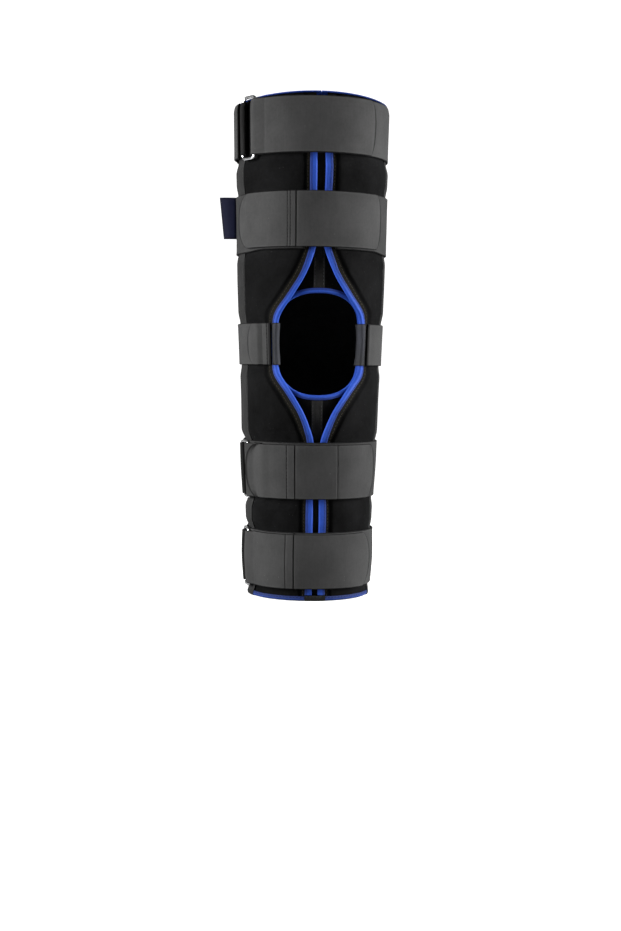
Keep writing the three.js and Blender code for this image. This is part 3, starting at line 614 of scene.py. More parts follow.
def makePadding(name, dark, light):
    material, tree, shader = newMaterial(name, paddingShader)
    body, place = bodyPlace(tree), weavePlace(tree)
    spec = paddingWeave
    pile = fillGroup(tree, "pile", {"Place": body, "Fibre": spec["fibre"]})
    weave = fillGroup(tree, "weave", {"Place": place, "Pitch": spec["pitch"]})
    lint = fillGroup(tree, "lint", {"Place": body, "Amount": spec["lintAmount"]})
    colour = blend(tree, pile["Tone"], dark, light)
    colour = blend(tree, calc(tree, "MULTIPLY", lint["Mask"], spec["lintShows"]), colour, grey(0.1))
    tree.links.new(colour, shader.inputs["Base Color"])
    tree.links.new(rescale(tree, pile["Tone"], 0, 1, *spec["rough"]), shader.inputs["Roughness"])
    bumpInto(tree, shader, [(weave["Height"], *spec["weaveBump"]), (pile["Height"], *spec["pileBump"])])
    return material


# bindings: a fine ribbed tape, shaded along its free edges
bindingWeave = {
    "ribPitch": 0.8 * mm, "threadPitch": 0.55 * mm, "fibre": 2600.0, "wornWidth": 0.9 * mm, "worn": 0.3,
    "ribs": 0.5, "shadeInner": 1.8 * mm, "shadeOuter": 2.2 * mm, "shadeShows": 0.75, "rough": (0.75, 0.5),
    "ribBump": (0.5, 0.15 * mm), "pileBump": (0.2, 0.08 * mm),
}
bindingShader = {
    "Sheen Weight": 0.015, "Sheen Roughness": 0.35, "Sheen Tint": (0.6, 0.7, 1, 1), "IOR": 1.45,
    "Specular IOR Level": 0.12,
}


def makeBinding(name, dark, light, rubbed, shade):
    material, tree, shader = newMaterial(name, bindingShader)
    body, place, edge = bodyPlace(tree), weavePlace(tree), edgeAway(tree)
    weave = bindingWeave
    pitches = {"Rib Pitch": weave["ribPitch"], "Thread Pitch": weave["threadPitch"]}
    ribs = fillGroup(tree, "ribbing", {"Place": place, **pitches})
    pile = fillGroup(tree, "pile", {"Place": body, "Fibre": weave["fibre"]})
    worn = fillGroup(tree, "edgeWear", {"Edge": edge, "Place": body, "Width": weave["wornWidth"]})
    soft = calc(tree, "MULTIPLY", pile["Tone"], 1 - weave["ribs"])
    tone = calc(tree, "MULTIPLY_ADD", ribs["Height"], weave["ribs"], soft)
    colour = blend(tree, tone, dark, light)
    colour = blend(tree, calc(tree, "MULTIPLY", worn["Mask"], weave["worn"]), colour, rubbed)
    shadeMask = rescale(tree, edge, weave["shadeInner"], weave["shadeOuter"], weave["shadeShows"], 0.0)
    tree.links.new(blend(tree, shadeMask, colour, shade), shader.inputs["Base Color"])
    tree.links.new(rescale(tree, tone, 0, 1, *weave["rough"]), shader.inputs["Roughness"])
    bumpInto(tree, shader, [(ribs["Height"], *weave["ribBump"]), (pile["Height"], *weave["pileBump"])])
    return material


def makeMetal():
    material, tree, shader = newMaterial("plated_wire", {"Metallic": 1.0})
    scuffs = noise(tree, stretched(tree, bodyPlace(tree), (900, 900, 60)), 1.0, 4.0, 0.6)
    colour = blend(tree, rescale(tree, scuffs, 0.45, 0.75), grey(0.82, (0.99, 1, 1.02)), grey(0.6))
    tree.links.new(colour, shader.inputs["Base Color"])
    tree.links.new(rescale(tree, scuffs, 0.3, 0.8, 0.1, 0.3), shader.inputs["Roughness"])
    bumpInto(tree, shader, [(scuffs, 0.1, 0.05 * mm)])
    return material


threadShader = {"Sheen Weight": 0.02, "IOR": 1.45, "Specular IOR Level": 0.15}


def makeThread(name, dark, light):
    material, tree, shader = newMaterial(name, threadShader)
    twist = noise(tree, bodyPlace(tree), 2400.0, 2.0)
    tree.links.new(blend(tree, twist, dark, light), shader.inputs["Base Color"])
    tree.links.new(rescale(tree, twist, 0.2, 0.8, 0.75, 0.5), shader.inputs["Roughness"])
    bumpInto(tree, shader, [(twist, 0.5, 0.08 * mm)])
    return material


def makeFloor():
    material, tree, shader = newMaterial("studio_floor", {"IOR": 1.3, "Emission Color": (1, 1, 1, 1)})
    tone = noise(tree, bodyPlace(tree), 3.0, 2.0)
    tree.links.new(blend(tree, tone, grey(0.3), grey(0.32)), shader.inputs["Base Color"])
    tree.links.new(rescale(tree, tone, 0, 1, 0.85, 0.95), shader.inputs["Roughness"])
    seen = put(tree, "ShaderNodeLightPath").outputs["Is Camera Ray"]
    tree.links.new(calc(tree, "MULTIPLY", seen, studio["backdropGlow"]), shader.inputs["Emission Strength"])
    return material


# the last colour of each strap cloth is its cut-edge band, which also paints shade at tips and seams
strapCloth = makeStrapCloth("strap_cloth", grey(0.019), grey(0.031), grey(0.055), grey(0.002))
# a darker copy of the strap cloth, as painted shade on the straps that lie under others
shadedStrapCloth = makeStrapCloth("shaded_strap_cloth", grey(0.014), grey(0.023), grey(0.04), grey(0.002))
blackTape = makeStrapCloth("black_tape", grey(0.004), grey(0.008), grey(0.012), grey(0.003))
pocketTape = makeStrapCloth("pocket_tape", grey(0.008), grey(0.017), grey(0.03), grey(0.003))
tabTape = makeStrapCloth("tab_tape", grey(0.014), grey(0.028, (0.95, 1, 1.25)), grey(0.05), grey(0.006))
ribbonCloth = makeStrapCloth("ribbon_cloth", grey(0.005), grey(0.011), grey(0.03), grey(0.012))
paddingCloth = makePadding("padding_cloth", grey(0.0016), grey(0.0042, (1, 1.02, 1.06)))
marginCloth = makePadding("margin_cloth", grey(0.004, (1.05, 1, 0.85)), grey(0.008, (1.05, 1, 0.85)))
# the lining cloth is made lighter than the padding, as painted light inside the brace's dark hollow
litLiningCloth = makePadding("lit_lining_cloth", grey(0.012), grey(0.022, (1, 1.01, 1.04)))
# each binding's dark, light, rubbed and shaded colour
bindingTones = {
    "binding_cloth": [(0.008, 0.028, 0.18), (0.018, 0.06, 0.33), (0.05, 0.12, 0.48), (0.006, 0.016, 0.09)],
    # the hem's tape is the blue binding made darker all over, as painted shade on the hem
    "shaded_hem_cloth": [(0.008, 0.018, 0.09), (0.018, 0.04, 0.17), (0.04, 0.08, 0.3), (0.004, 0.008, 0.04)],
    "label_cloth": [(0.002, 0.0025, 0.01), (0.004, 0.005, 0.02), (0.02, 0.02, 0.05), (0.002, 0.002, 0.01)],
}
bindingCloth, shadedHemCloth, labelCloth = [
    makeBinding(name, *[(*colour, 1) for colour in tones]) for name, tones in bindingTones.items()
]
wireMetal = makeMetal()
blackThread = makeThread("black_thread", grey(0.008), grey(0.03))
blueThread = makeThread("blue_thread", (0.004, 0.01, 0.06, 1), (0.012, 0.03, 0.16, 1))
oliveThread = makeThread("olive_thread", grey(0.01, (1.2, 1, 0.6)), grey(0.03, (1.2, 1, 0.6)))
print("materials made")

# Padded panels
panel = {
    "seamHalf": 2.8 * mm,  # from the front seam to each flap's binding
    "seamLean": {-1: 0.6 * mm, 1: 2 * mm},  # the left and right edges stand this much wider at the top
    "openingHeight": 184 * mm,  # the flaps part over this height
    "widest": {-1: 42 * mm, 1: 47 * mm},  # from the seam to each flap's edge at the knee line
    "bindingWidth": 6.2 * mm,
    "margin": 4 * mm,  # flat stitched margin beside the binding
    "marginRise": 4 * mm,
    "marginStitch": 2.6 * mm,  # its row of stitches, outside the binding
    "hemTuck": 1.4 * mm,  # the padding is drawn in this much at the hem
    "hemEase": 11 * mm,
    "rimCap": 1 * mm,
    "puff": 0.2 * mm,  # how far the padding stands proud between straps
    "fold": 0.28 * mm,
    "rounding": 0.5 * mm,  # round of the panels' free edges
    "levels": 236,
    "backLevels": 220,
    "marginColumns": 7,
    "bodyColumns": 34,
    "sideGap": 0.15,  # degrees from each panel's end to the side seam
    "recessEase": 1.2,  # degrees over which the padding drops to the stay pocket's seat
    "groove": 0.35 * mm,  # dent under the margin's stitches
    "grooveWidth": 0.7 * mm,
}
edgeRise = [0, 0.24, 0.34, 0.435, 0.54, 0.64, 0.74, 0.84, 0.94, 1]
edgeSpread = [1, 0.962, 0.81, 0.625, 0.455, 0.3, 0.184, 0.089, 0.013, 0]

# the side pockets' angles and sizes; they are seated in a recess of the padding
pocket = {
    "front": 70, "back": 102, "clear": 0.3, "tuck": 12 * mm, "stayBulge": 0.4 * mm, "stayInset": 4 * mm,
    "stitchInset": 1.8 * mm, "groove": 0.4 * mm, "grooveWidth": 0.8 * mm, "edgeDrop": 0.7 * mm,
    "edgeEase": 1.2 * mm, "wave": 0.22 * mm,
}
rim = {
    "outside": 1.7 * mm, "inside": 5 * mm, "hem": 5.5 * mm, "hemShown": 4.6 * mm, "hemBow": 3 * mm,
    "tapeHalf": 9.5 * mm,
}


# distance of a flap's edge from the seam, or of a line that runs inset from it
def flapEdge(height, side, inset=0.0):
    half = panel["openingHeight"] / 2
    lean = panel["seamLean"][side] * smooth((height - kneeHeight) / (brace["length"] - kneeHeight))

    def edgeAt(level):
        total = 0
        for step in (-4, -2, 0, 2, 4):
            rise = np.abs(level + step * mm - kneeHeight) / half
            total = total + np.interp(rise, edgeRise, edgeSpread)
        return mix(panel["seamHalf"] + lean, panel["widest"][side], total / 5)

    slope = (edgeAt(height + 2 * mm) - edgeAt(height - 2 * mm)) / (4 * mm)
    return edgeAt(height) + inset * np.hypot(1, slope)


def liningAt(height):
    low = bands["top_strap"][0]
    share = (height - low) / (brace["length"] - brace["rimDip"] - rim["inside"] - low)
    return mix(-layers["padding"], flapInnerLift, np.clip(share, 0, 1))


# waves of the padding: a seed and the waves' lengths round the leg and along it
paddingWaves = {
    "upright": (3, 26 * mm, 90 * mm), "uprightShare": 0.6,
    "level": (5, 60 * mm, 40 * mm), "levelShare": 0.4,
    "tucks": (8, 11 * mm, 60 * mm), "tuckShare": 1.6,  # small tucks close above and below a strap
}


def paddingRelief(angle, height):
    u = np.radians(angle) * brace["meanRadius"]
    waves = paddingWaves
    folds = ripple(u, height, *waves["upright"]) * waves["uprightShare"]
    folds = folds + ripple(u, height, *waves["level"]) * waves["levelShare"]
    press = np.minimum(pressAt(height), 1)
    tucks = ripple(u, height, *waves["tucks"]) * smooth(press * 1.6) * waves["tuckShare"]
    hem = panel["hemTuck"] * smooth(1 - height / panel["hemEase"])
    return panel["puff"] * (1 - press) ** 2 + panel["fold"] * (folds + tucks) * (1 - press) - hem


# closed body between an outer and an inner surface given on one grid of angles and heights
def slabBody(angle, height, outerLift, innerLift, edge=1.0):
    middle = (outerLift + innerLift) / 2
    along = np.stack([runLengths(line) for line in legPoint(angle, height, middle)])
    away = np.minimum(along, along[:, -1:] - along)
    rounded = np.sqrt(1 - (1 - np.clip(away / panel["rounding"], 0.02, 1)) ** 2)
    outer = legPoint(angle, height, mix(middle, outerLift, rounded))
    inner = legPoint(angle, height, mix(middle, innerLift, rounded))
    u = np.radians(angle) * brace["meanRadius"]
    place = [thereAndBack(part, axis=1) for part in (u, height)]
    edges = thereAndBack(np.broadcast_to(edge, angle.shape), axis=1)
    return sweep(thereAndBack(outer, inner, axis=1), place, edges)


# gives a slab's inner faces one material, and the outer faces of its first columns another
def paintSlab(piece, shape, innerSlot, columns=0, outerSlot=0):
    runs, levels = shape
    marks = np.zeros(len(piece.data.polygons), dtype=np.int32)
    piece.data.polygons.foreach_get("material_index", marks)
    slab = marks[:(runs - 1) * 2 * levels].reshape(runs - 1, 2 * levels)
    slab[:, levels:-1] = innerSlot
    slab[:columns, :levels - 1] = outerSlot
    piece.data.polygons.foreach_set("material_index", marks)


def makeFlap(word, side):
    levels = np.linspace(0, 1, panel["levels"])
    inner = layers["binding"] + layers["liningGap"]
    pressEnd = panel["bindingWidth"] + panel["margin"]
    bottom = panel["rimCap"] + layers["gap"]

    # angles of a column of the stitched margin, of the rise beside it or of the padding beyond
    def angleAt(kind, share, height):
        edgeEnd = angleOf(flapEdge(height, side, pressEnd), height)
        riseEnd = angleOf(flapEdge(height, side, pressEnd + panel["marginRise"]), height)
        if kind == "margin":
            return mix(angleOf(flapEdge(height, side, inner), height), edgeEnd, share)
        return mix(edgeEnd, riseEnd, share) if kind == "rise" else mix(riseEnd, 90 - panel["sideGap"], share)

    marginShares = np.linspace(0, 1, panel["marginColumns"])
    columns = [("margin", share) for share in marginShares]
    columns += [("rise", share) for share in marginShares[1:]]
    columns += [("body", share) for share in np.linspace(0, 1, panel["bodyColumns"])[1:]]
    angle = np.zeros((len(columns), len(levels)))
    height = np.zeros_like(angle)
    for i, (kind, share) in enumerate(columns):
        top = rimHeight(angleAt(kind, share, brace["length"] - bottom)) - bottom
        height[i] = mix(bottom, top, levels)
        angle[i] = angleAt(kind, share, height[i])
    base = flapEdge(height, side)
    inset = (np.radians(angle) * halfWidthAt(height) - base) / (flapEdge(height, side, 1) - base)
    rise = smooth((inset - pressEnd) / panel["marginRise"])
    recess = smooth((angle - pocket["front"]) / panel["recessEase"] + 1)
    relief = paddingRelief(side * angle, height) * rise * (1 - recess)
    rowInset = panel["bindingWidth"] + panel["marginStitch"]
    outer = mix(marginLift, 0, rise) * (1 - recess) + marginLift * recess + relief
    outer = outer - panel["groove"] * hump(inset - rowInset, panel["grooveWidth"])
    lining = np.maximum(mix(flapInnerLift, -layers["padding"], rise), liningAt(height))
    bodies = [slabBody(side * angle, height, outer, lining)]
    bodies += upStitches(lambda run: side * angleOf(flapEdge(run, side, rowInset), run), bottom + 3 * mm,
                         brace["length"] - 8 * mm, marginLift - 0.25 * mm, thread["fineRadius"])
    piece = makePiece(f"{word}_padded_flap", bodies, [paddingCloth, oliveThread, marginCloth, litLiningCloth],
                      f"{word}_flap")
    paintSlab(piece, angle.shape, 3, panel["marginColumns"] - 1, 2)


def makeBackPanel():
    bottom = panel["rimCap"] + layers["gap"]
    angles = spread(90 + panel["sideGap"], 270 - panel["sideGap"], 2.2)
    levels = np.linspace(0, 1, panel["backLevels"])
    angle = np.repeat(angles[:, None], len(levels), axis=1)
    height = mix(bottom, rimHeight(angle) - bottom, levels)
    fromSide = np.minimum(angle, 360 - angle)
    recess = smooth((pocket["back"] - fromSide) / panel["recessEase"] + 1)
    outer = mix(paddingRelief(angle, height), marginLift, recess)
    bodies = [slabBody(angle, height, outer, liningAt(height))]
    piece = makePiece("back_padding", bodies, [paddingCloth, litLiningCloth], "back_panel")
    paintSlab(piece, angle.shape, 1)


for word, side in sides.items():
    makeFlap(word, side)
makeBackPanel()
print("padded panels made")


# Stay pockets: ribbed tape over a flat stay, folded under the hem and tucked up inside
def makePocket(word, side):
    angles = spread(pocket["front"] + pocket["clear"], pocket["back"] - pocket["clear"], 1.6)
    top = rimHeight(90) - panel["rimCap"] - layers["gap"]
    climb = spread(2 * mm, top, 2.2 * mm)
    u = np.radians(angles) * brace["meanRadius"]
    halfSpan = (u[-1] - u[0]) / 2
    fromEdge = (halfSpan - np.abs(u - u[0] - halfSpan))[:, None]
    tuck = insideLift - layers["loop"]
    # the path of the pocket's cloth, from its tucked end, round the hem and up the outside
    outerPath = [(pocket["tuck"], tuck), (6 * mm, tuck), (2 * mm, tuck), (0.3 * mm, tuck + 0.6 * mm),
                 (0, tuck + 2 * mm), (0, -1.5 * mm), (0.4 * mm, -0.4 * mm)]
    innerPath = [(pocket["tuck"], insideLift), (6 * mm, insideLift), (2.4 * mm, insideLift),
                 (1.1 * mm, insideLift + 0.3 * mm), (panel["rimCap"], insideLift + 1.2 * mm),
                 (panel["rimCap"], -2.4 * mm), (1.2 * mm, -layers["pocket"])]
    hemCorners = len(outerPath)
    outerPath = np.array(outerPath + [(z, 0) for z in climb])
    innerPath = np.array(innerPath + [(max(z, 1.4 * mm), -layers["pocket"]) for z in climb])
    height = outerPath[:, 0]
    bulge = pocket["stayBulge"] * smooth(fromEdge / pocket["stayInset"] - 1)
    dip = pocket["groove"] * hump(fromEdge - pocket["stitchInset"], pocket["grooveWidth"])
    drop = pocket["edgeDrop"] * smooth(1 - fromEdge / pocket["edgeEase"])
    wave = ripple(u[:, None], height, 21, 60 * mm, 50 * mm) * pocket["wave"]
    outside = smooth((height - 6 * mm) / (10 * mm)) * (np.arange(len(height)) >= hemCorners)
    shown = outside * (1 - 0.5 * np.minimum(pressAt(height), 1))
    outer = legPoint(side * angles[:, None], height, outerPath[:, 1] + (bulge - dip - drop + wave) * shown)
    inner = legPoint(side * angles[:, None], innerPath[:, 0], innerPath[:, 1])
    place = (u[:, None], thereAndBack(runLengths(outerPath)))
    bodies = [sweep(thereAndBack(outer, inner, axis=1), place, fromEdge)]
    for end, sign in ((u[0], 1), (u[-1], -1)):
        at = side * np.degrees((end + sign * pocket["stitchInset"]) / brace["meanRadius"])
        bodies += upStitches(lambda run: at + 0 * run, 8 * mm, top - 3 * mm, -0.35 * mm)
    piece = makePiece(f"{word}_pocket_tape", bodies, [pocketTape, blackThread], f"{word}_stay_pocket")


for word, side in sides.items():
    makePocket(word, side)
print("stay pockets made")


# Bindings
binding = {
    "bow": 1.6 * mm,  # how far the fold's round reaches
    "endInset": 0.25 * mm,  # the free ends' rounded corners
    "endDrop": 0.04 * mm,
    "endThin": 0.35,
    "endRow": 0.6 * mm,
    "stitchInset": 1.5 * mm,
    "rimStitchInset": 1.2 * mm,
    "stitchLift": 0.05 * mm,
    "leastStitched": 3 * mm,  # a fold that shows less than this has no row of stitches
    "wave": 0.1 * mm,
    "rimWave": 0.06 * mm,
    "step": 2 * mm,
    "shareAtKnee": 0.78,  # how wide the flaps' binding shows beside the opening
    "shareBeyond": 1.08,
    "beyond": 60 * mm,  # from the knee line to where the binding starts to widen
    "beyondEase": 40 * mm,
    "stretch": 1.1,  # the flaps' curved edge over its height
    "stitchSteps": 500,
}


# The folded tape's section is walked from its outer free end, round the fold, to its inner free end:
# pairs of an inset from the fold and a lift.
def foldedTape(width, front, back, insideWidth, bow=binding["bow"]):
    thickness = layers["binding"]
    middle = (front + back) / 2
    half = (front - back) / 2
    bow = min(half, bow)
    endInset, drop, thin = binding["endInset"], binding["endDrop"], binding["endThin"] * thickness
    outer = [(width, front - thin), (width - endInset, front - drop)]
    outer += [(inset, front) for inset in np.linspace(width - binding["endRow"], bow, 6)]
    outer += [(bow * (1 - math.sin(turn)), middle + half * math.cos(turn))
              for turn in np.linspace(0, math.pi, 8)[1:-1]]
    outer += [(inset, back) for inset in np.linspace(bow, insideWidth - binding["endRow"], 6)]
    outer += [(insideWidth - endInset, back + drop), (insideWidth, back + thin)]
    outer = np.array(outer)
    inward = leftOf(outer)
    depth = np.full(len(outer), thickness)
    depth[[0, -1]] = 0.3 * thickness
    depth[[1, -2]] = 0.85 * thickness
    middleInset = np.array([(width + insideWidth) / 4, middle])
    facing = np.sum((middleInset - outer) * inward, axis=1).sum()
    inner = outer + inward * depth[:, None] * (1 if facing > 0 else -1)
    return outer, inner


# binding along an edge: pointAt(run, inset, lift) gives the points, run is a share along the edge
def bindEdge(pointAt, runs, section, length, closed=False, waves=0.0, seed=1):
    outer, inner = section
    loop = thereAndBack(outer, inner)
    rise = ripple(runs[:, None] * length, 0 * loop[:, 0], seed, 9 * mm, 1.0) * waves
    facing = np.concatenate([np.ones(len(outer)), np.zeros(len(inner))])
    lift = loop[:, 1] + rise * facing
    sections = pointAt(runs[:, None], np.broadcast_to(loop[:, 0], lift.shape), lift)
    across = thereAndBack(runLengths(outer))
    edge = np.minimum(across, across.max() - across)
    return sweep(sections, (runs[:, None] * length, across), edge, closed=closed)


def makeFlapBinding(word, side):
    bottom = rim["hem"] + layers["gap"]
    top = brace["length"] - rim["inside"] - layers["gap"]

    def pointAt(run, inset, lift):
        height = mix(bottom, top, run)
        beyond = smooth((np.abs(height - kneeHeight) - binding["beyond"]) / binding["beyondEase"])
        inset = inset * mix(binding["shareAtKnee"], binding["shareBeyond"], beyond)
        return legPoint(side * angleOf(flapEdge(height, side, inset), height), height, lift)

    front = flapBindingLift + layers["binding"]
    back = flapBindingInside - layers["binding"]
    section = foldedTape(panel["bindingWidth"], front, back, panel["bindingWidth"])
    length = (top - bottom) * binding["stretch"]
    runs = spread(0, 1, binding["step"] / length)
    bodies = [bindEdge(pointAt, runs, section, length, waves=binding["wave"], seed=31 + side)]
    shares = np.linspace(0.004, 0.996, binding["stitchSteps"])
    inset = panel["bindingWidth"] - binding["stitchInset"]
    for lift, way in ((front, 1), (back, -1)):
        bodies += edgeStitches(pointAt, shares, inset, lift + way * binding["stitchLift"], way)
    makePiece(f"{word}_flap_edge_tape", bodies, [bindingCloth, blueThread], f"{word}_flap_binding")


tongue = {
    "halfAngle": 52, "tapeWidth": 11 * mm, "rays": 240, "columns": 60, "wave": 0.18 * mm,
    "crease": 0.2 * mm, "creaseInset": 2 * mm, "creaseWidth": 0.7 * mm,
}
patella = {
    "halfWidth": {-1: 47.5 * mm, 1: 53 * mm}, "halfHeight": 46 * mm, "roundness": 2.3, "binding": 4.5 * mm,
    "meanRadius": 45 * mm, "steps": 180, "stitchSteps": 600,
}


def patellaOutline(run, inset):
    turn = run * 2 * math.pi
    power = 2 / patella["roundness"]
    c, s = np.cos(turn), np.sin(turn)
    halfWidth = np.where(c < 0, patella["halfWidth"][-1], patella["halfWidth"][1])
    across = halfWidth * np.sign(c) * np.abs(c) ** power
    rise = patella["halfHeight"] * np.sign(s) * np.abs(s) ** power
    steepness = patella["roundness"] - 1
    outX = np.sign(c) * np.abs(across / halfWidth) ** steepness / halfWidth
    outY = np.sign(s) * np.abs(rise / patella["halfHeight"]) ** steepness / patella["halfHeight"]
    size = np.hypot(outX, outY)
    return across + inset * outX / size, rise + inset * outY / size


def patellaPoint(run, inset, lift):
    across, rise = patellaOutline(run, inset)
    return legPoint(angleOf(across, kneeHeight), kneeHeight + rise, lift)


def makePatellaBinding():
    front = tapeLift
    back = tongueInside - layers["binding"]
    section = foldedTape(patella["binding"], front, back, patella["binding"])
    length = 2 * math.pi * patella["meanRadius"]
    # even steps along the outline, which starts at the right and goes up over the top
    fine = np.linspace(0, 1, 2001)
    along = runLengths(patellaPoint(fine, 0, front))
    runs = np.interp(np.linspace(0, along[-1], patella["steps"] + 1)[:-1], along, fine)
    bodies = [bindEdge(patellaPoint, runs, section, length, closed=True)]
    shares = np.interp(np.linspace(0, along[-1], patella["stitchSteps"]), along, fine)
    inset = patella["binding"] - binding["rimStitchInset"]
    for lift, way in ((front, 1), (back, -1)):
        bodies += edgeStitches(patellaPoint, shares, inset, lift + way * binding["stitchLift"], way,
                               thread["fineRadius"])
    makePiece("patella_edge_tape", bodies, [bindingCloth, blueThread], "patella_binding")


# binding folded over a rim: insets are measured along the height, away from the fold
def makeRimTape(name, node, angles, fold, sign, widths, front, back, cloth, bow=binding["bow"]):
    width, insideWidth = widths
    section = foldedTape(width, front, back, insideWidth, bow)

    def pointAt(run, inset, lift):
        angle = mix(*angles, run)
        return legPoint(angle, fold(angle) - sign * inset, lift)

    length = math.radians(abs(angles[1] - angles[0])) * brace["meanRadius"]
    runs = spread(0, 1, binding["step"] / length)
    bodies = [bindEdge(pointAt, runs, section, length, waves=binding["rimWave"], seed=len(name))]
    shares = np.linspace(0.003, 0.997, max(20, int(length / mm)))
    for reach, lift, way in ((insideWidth, back, -1), (width, front, 1)):
        if reach > binding["leastStitched"]:
            bodies += edgeStitches(pointAt, shares, reach - binding["rimStitchInset"],
                                   lift + way * binding["stitchLift"], way)
    taped = cloth is blackTape
    makePiece(name, bodies, [cloth, blackThread if taped else blueThread], node)


def upperRim(angle):
    return brace["length"] + 0 * angle


def lowerRim(angle):
    return 0 * angle


def makeRims():
    start = float(angleOf(0.5 * mm, brace["length"]))
    bindingFront = layers["gap"] + layers["binding"]
    bindingBack = insideLift - layers["binding"]
    makeRimTape("upper_rim_tape", "rim_binding", (start, 360 - start), rimHeight, 1,
                (rim["outside"], rim["inside"]), bindingFront, tapeLift + layers["gap"], bindingCloth)
    makeRimTape("tongue_edge_tape", "tongue_binding", (-tongue["halfAngle"], tongue["halfAngle"]), upperRim,
                1, (rim["inside"], rim["inside"]), tapeLift, tongueInside - layers["binding"], bindingCloth)
    hemStart = float(angleOf(rim["tapeHalf"] + layers["gap"], 0.0))
    tapeHalf = float(angleOf(rim["tapeHalf"], 0.0))
    front, back = pocket["front"] - pocket["clear"], pocket["back"] + pocket["clear"]
    hemEnds = {"left": (-hemStart, -front), "right": (hemStart, front), "back": (back, 360 - back)}
    # the hem tapes take the darker blue, as painted shade
    for word, ends in hemEnds.items():
        makeRimTape(f"{word}_hem_tape", f"{word}_hem_binding", ends, lowerRim, -1,
                    (rim["hemShown"], rim["hem"]), bindingFront - panel["hemTuck"] + layers["gap"],
                    bindingBack, shadedHemCloth, rim["hemBow"])
    makeRimTape("front_seam_tape", "seam_tape", (-tapeHalf, tapeHalf), lowerRim, -1,
                (rim["hem"], rim["hem"]), flapBindingLift + 2 * layers["binding"], bindingBack, blackTape)


for word, side in sides.items():
    makeFlapBinding(word, side)
makePatellaBinding()
makeRims()
print("bindings made")


# Tongue behind the flaps
def makeTongue():
    bottom = rim["hem"] / 2
    top = brace["length"] - panel["rimCap"] - layers["gap"]
    # a ring of columns from the opening's edge out to the sheet's own outline
    runs = np.linspace(0, 1, tongue["rays"], endpoint=False)
    innerX, rise = patellaOutline(runs, layers["binding"] + layers["gap"])
    innerZ = kneeHeight + rise
    turn = runs * 2 * math.pi
    radius = float(halfWidthAt(kneeHeight))
    halfAcross = math.radians(tongue["halfAngle"]) * radius
    # outline of the sheet, met by rays from the opening's middle
    dx, dz = np.cos(turn), np.sin(turn)
    reachX = np.where(np.abs(dx) > 1e-6, halfAcross / np.maximum(np.abs(dx), 1e-6), 1e3)
    reachZ = np.where(dz >= 0, (top - kneeHeight), (kneeHeight - bottom)) / np.maximum(np.abs(dz), 1e-6)
    reach = np.minimum(reachX, reachZ)
    outerX, outerZ = dx * reach, kneeHeight + dz * reach
    for cornerX in (-halfAcross, halfAcross):
        for cornerZ in (bottom, top):
            nearest = np.argmin(np.hypot(outerX - cornerX, outerZ - cornerZ))
            outerX[nearest], outerZ[nearest] = cornerX, cornerZ
    shares = np.concatenate([np.linspace(0, 0.06, 4)[:-1], np.linspace(0.06, 1, tongue["columns"])])
    x = mix(innerX[:, None], outerX[:, None], shares)
    z = mix(innerZ[:, None], outerZ[:, None], shares)
    angle = np.degrees(x / radius)
    relief = ripple(x, z, 41, 30 * mm, 90 * mm) * tongue["wave"] * smooth(shares * 5)
    sheets = thereAndBack(legPoint(angle, z, tongueOuter + relief), legPoint(angle, z, tongueInner), axis=1)
    body = sweep(sheets, [thereAndBack(part, axis=1) for part in (x, z)], 1, closed=True)
    piece = makePiece("tongue_padding", [body], [paddingCloth], "tongue")


def makeTongueTape(word, bottom, top):
    levels = spread(bottom, top, 3 * mm)
    widths = np.linspace(-0.5, 0.5, 21) * tongue["tapeWidth"]
    height = np.repeat(levels[None, :], len(widths), axis=0)
    angle = angleOf(widths[:, None], height)
    fromCrease = np.abs(np.abs(widths) - tongue["creaseInset"])[:, None]
    outer = tapeLift - tongue["crease"] * smooth(1 - fromCrease / tongue["creaseWidth"]) + 0 * height
    edge = (tongue["tapeWidth"] / 2 - np.abs(widths))[:, None]
    bodies = [slabBody(angle, height, outer, tapeLift - layers["binding"], edge)]
    stitched = tongue["tapeWidth"] / 2 - binding["rimStitchInset"]
    for side in (-1, 1):
        bodies += upStitches(lambda run: angleOf(side * stitched, run), bottom + 2 * mm, top - 2 * mm,
                             tapeLift, thread["ribbonRadius"])
    makePiece(f"{word}_tongue_ribbon", bodies, [ribbonCloth, blackThread], f"{word}_tongue_tape")


makeTongue()
reach = patella["halfHeight"] + patella["binding"] + layers["gap"]
makeTongueTape("upper", kneeHeight + reach, brace["length"] - rim["inside"] - layers["gap"])
makeTongueTape("lower", rim["hem"] + layers["liningGap"], kneeHeight - reach)
print("tongue made")

# Straps. A path is a list of distances round the leg and lifts of the strap's middle; the rows run
# across the strap, from -1 at its lower edge to 1 at its upper edge.
strapLook = {
    "step": 1.6 * mm,
    "tapeStep": 1.2 * mm,
    "edgeRound": 0.9 * mm,
    "rowInset": 2.4 * mm,  # first of the even rows, from the strap's edge
    "rows": 27,
    "wave": 0.16 * mm,
    "curl": 0.5 * mm,
    "tipShade": 0.3,  # the dark cut edge's painted shade shows wider at a tip by the inverse of this
    "seamWidth": 0.45 * mm,
    "seamDepth": 0.45 * mm,
    "tipFullness": 2.4,  # a tip's outline: how square it is, and how blunt
    "tipBluntness": 0.62,
    "tipRise": 0.6 * mm,
    "tipRiseReach": 8,  # degrees
    "patchDrop": 0.4 * mm,  # step down past the end of a doubled part
    "patchEase": 0.5 * mm,
    "stitchMargin": 2.5 * mm,
}
# where a path has extra points, from a seam and from a tip
seamSpots = np.array([-1.4, -0.9, -0.5, -0.25, 0, 0.25, 0.5, 0.9, 1.4]) * mm
tipSpots = np.array([0.25, 0.6, 1.1, 1.8, 2.6, 3.6]) * mm


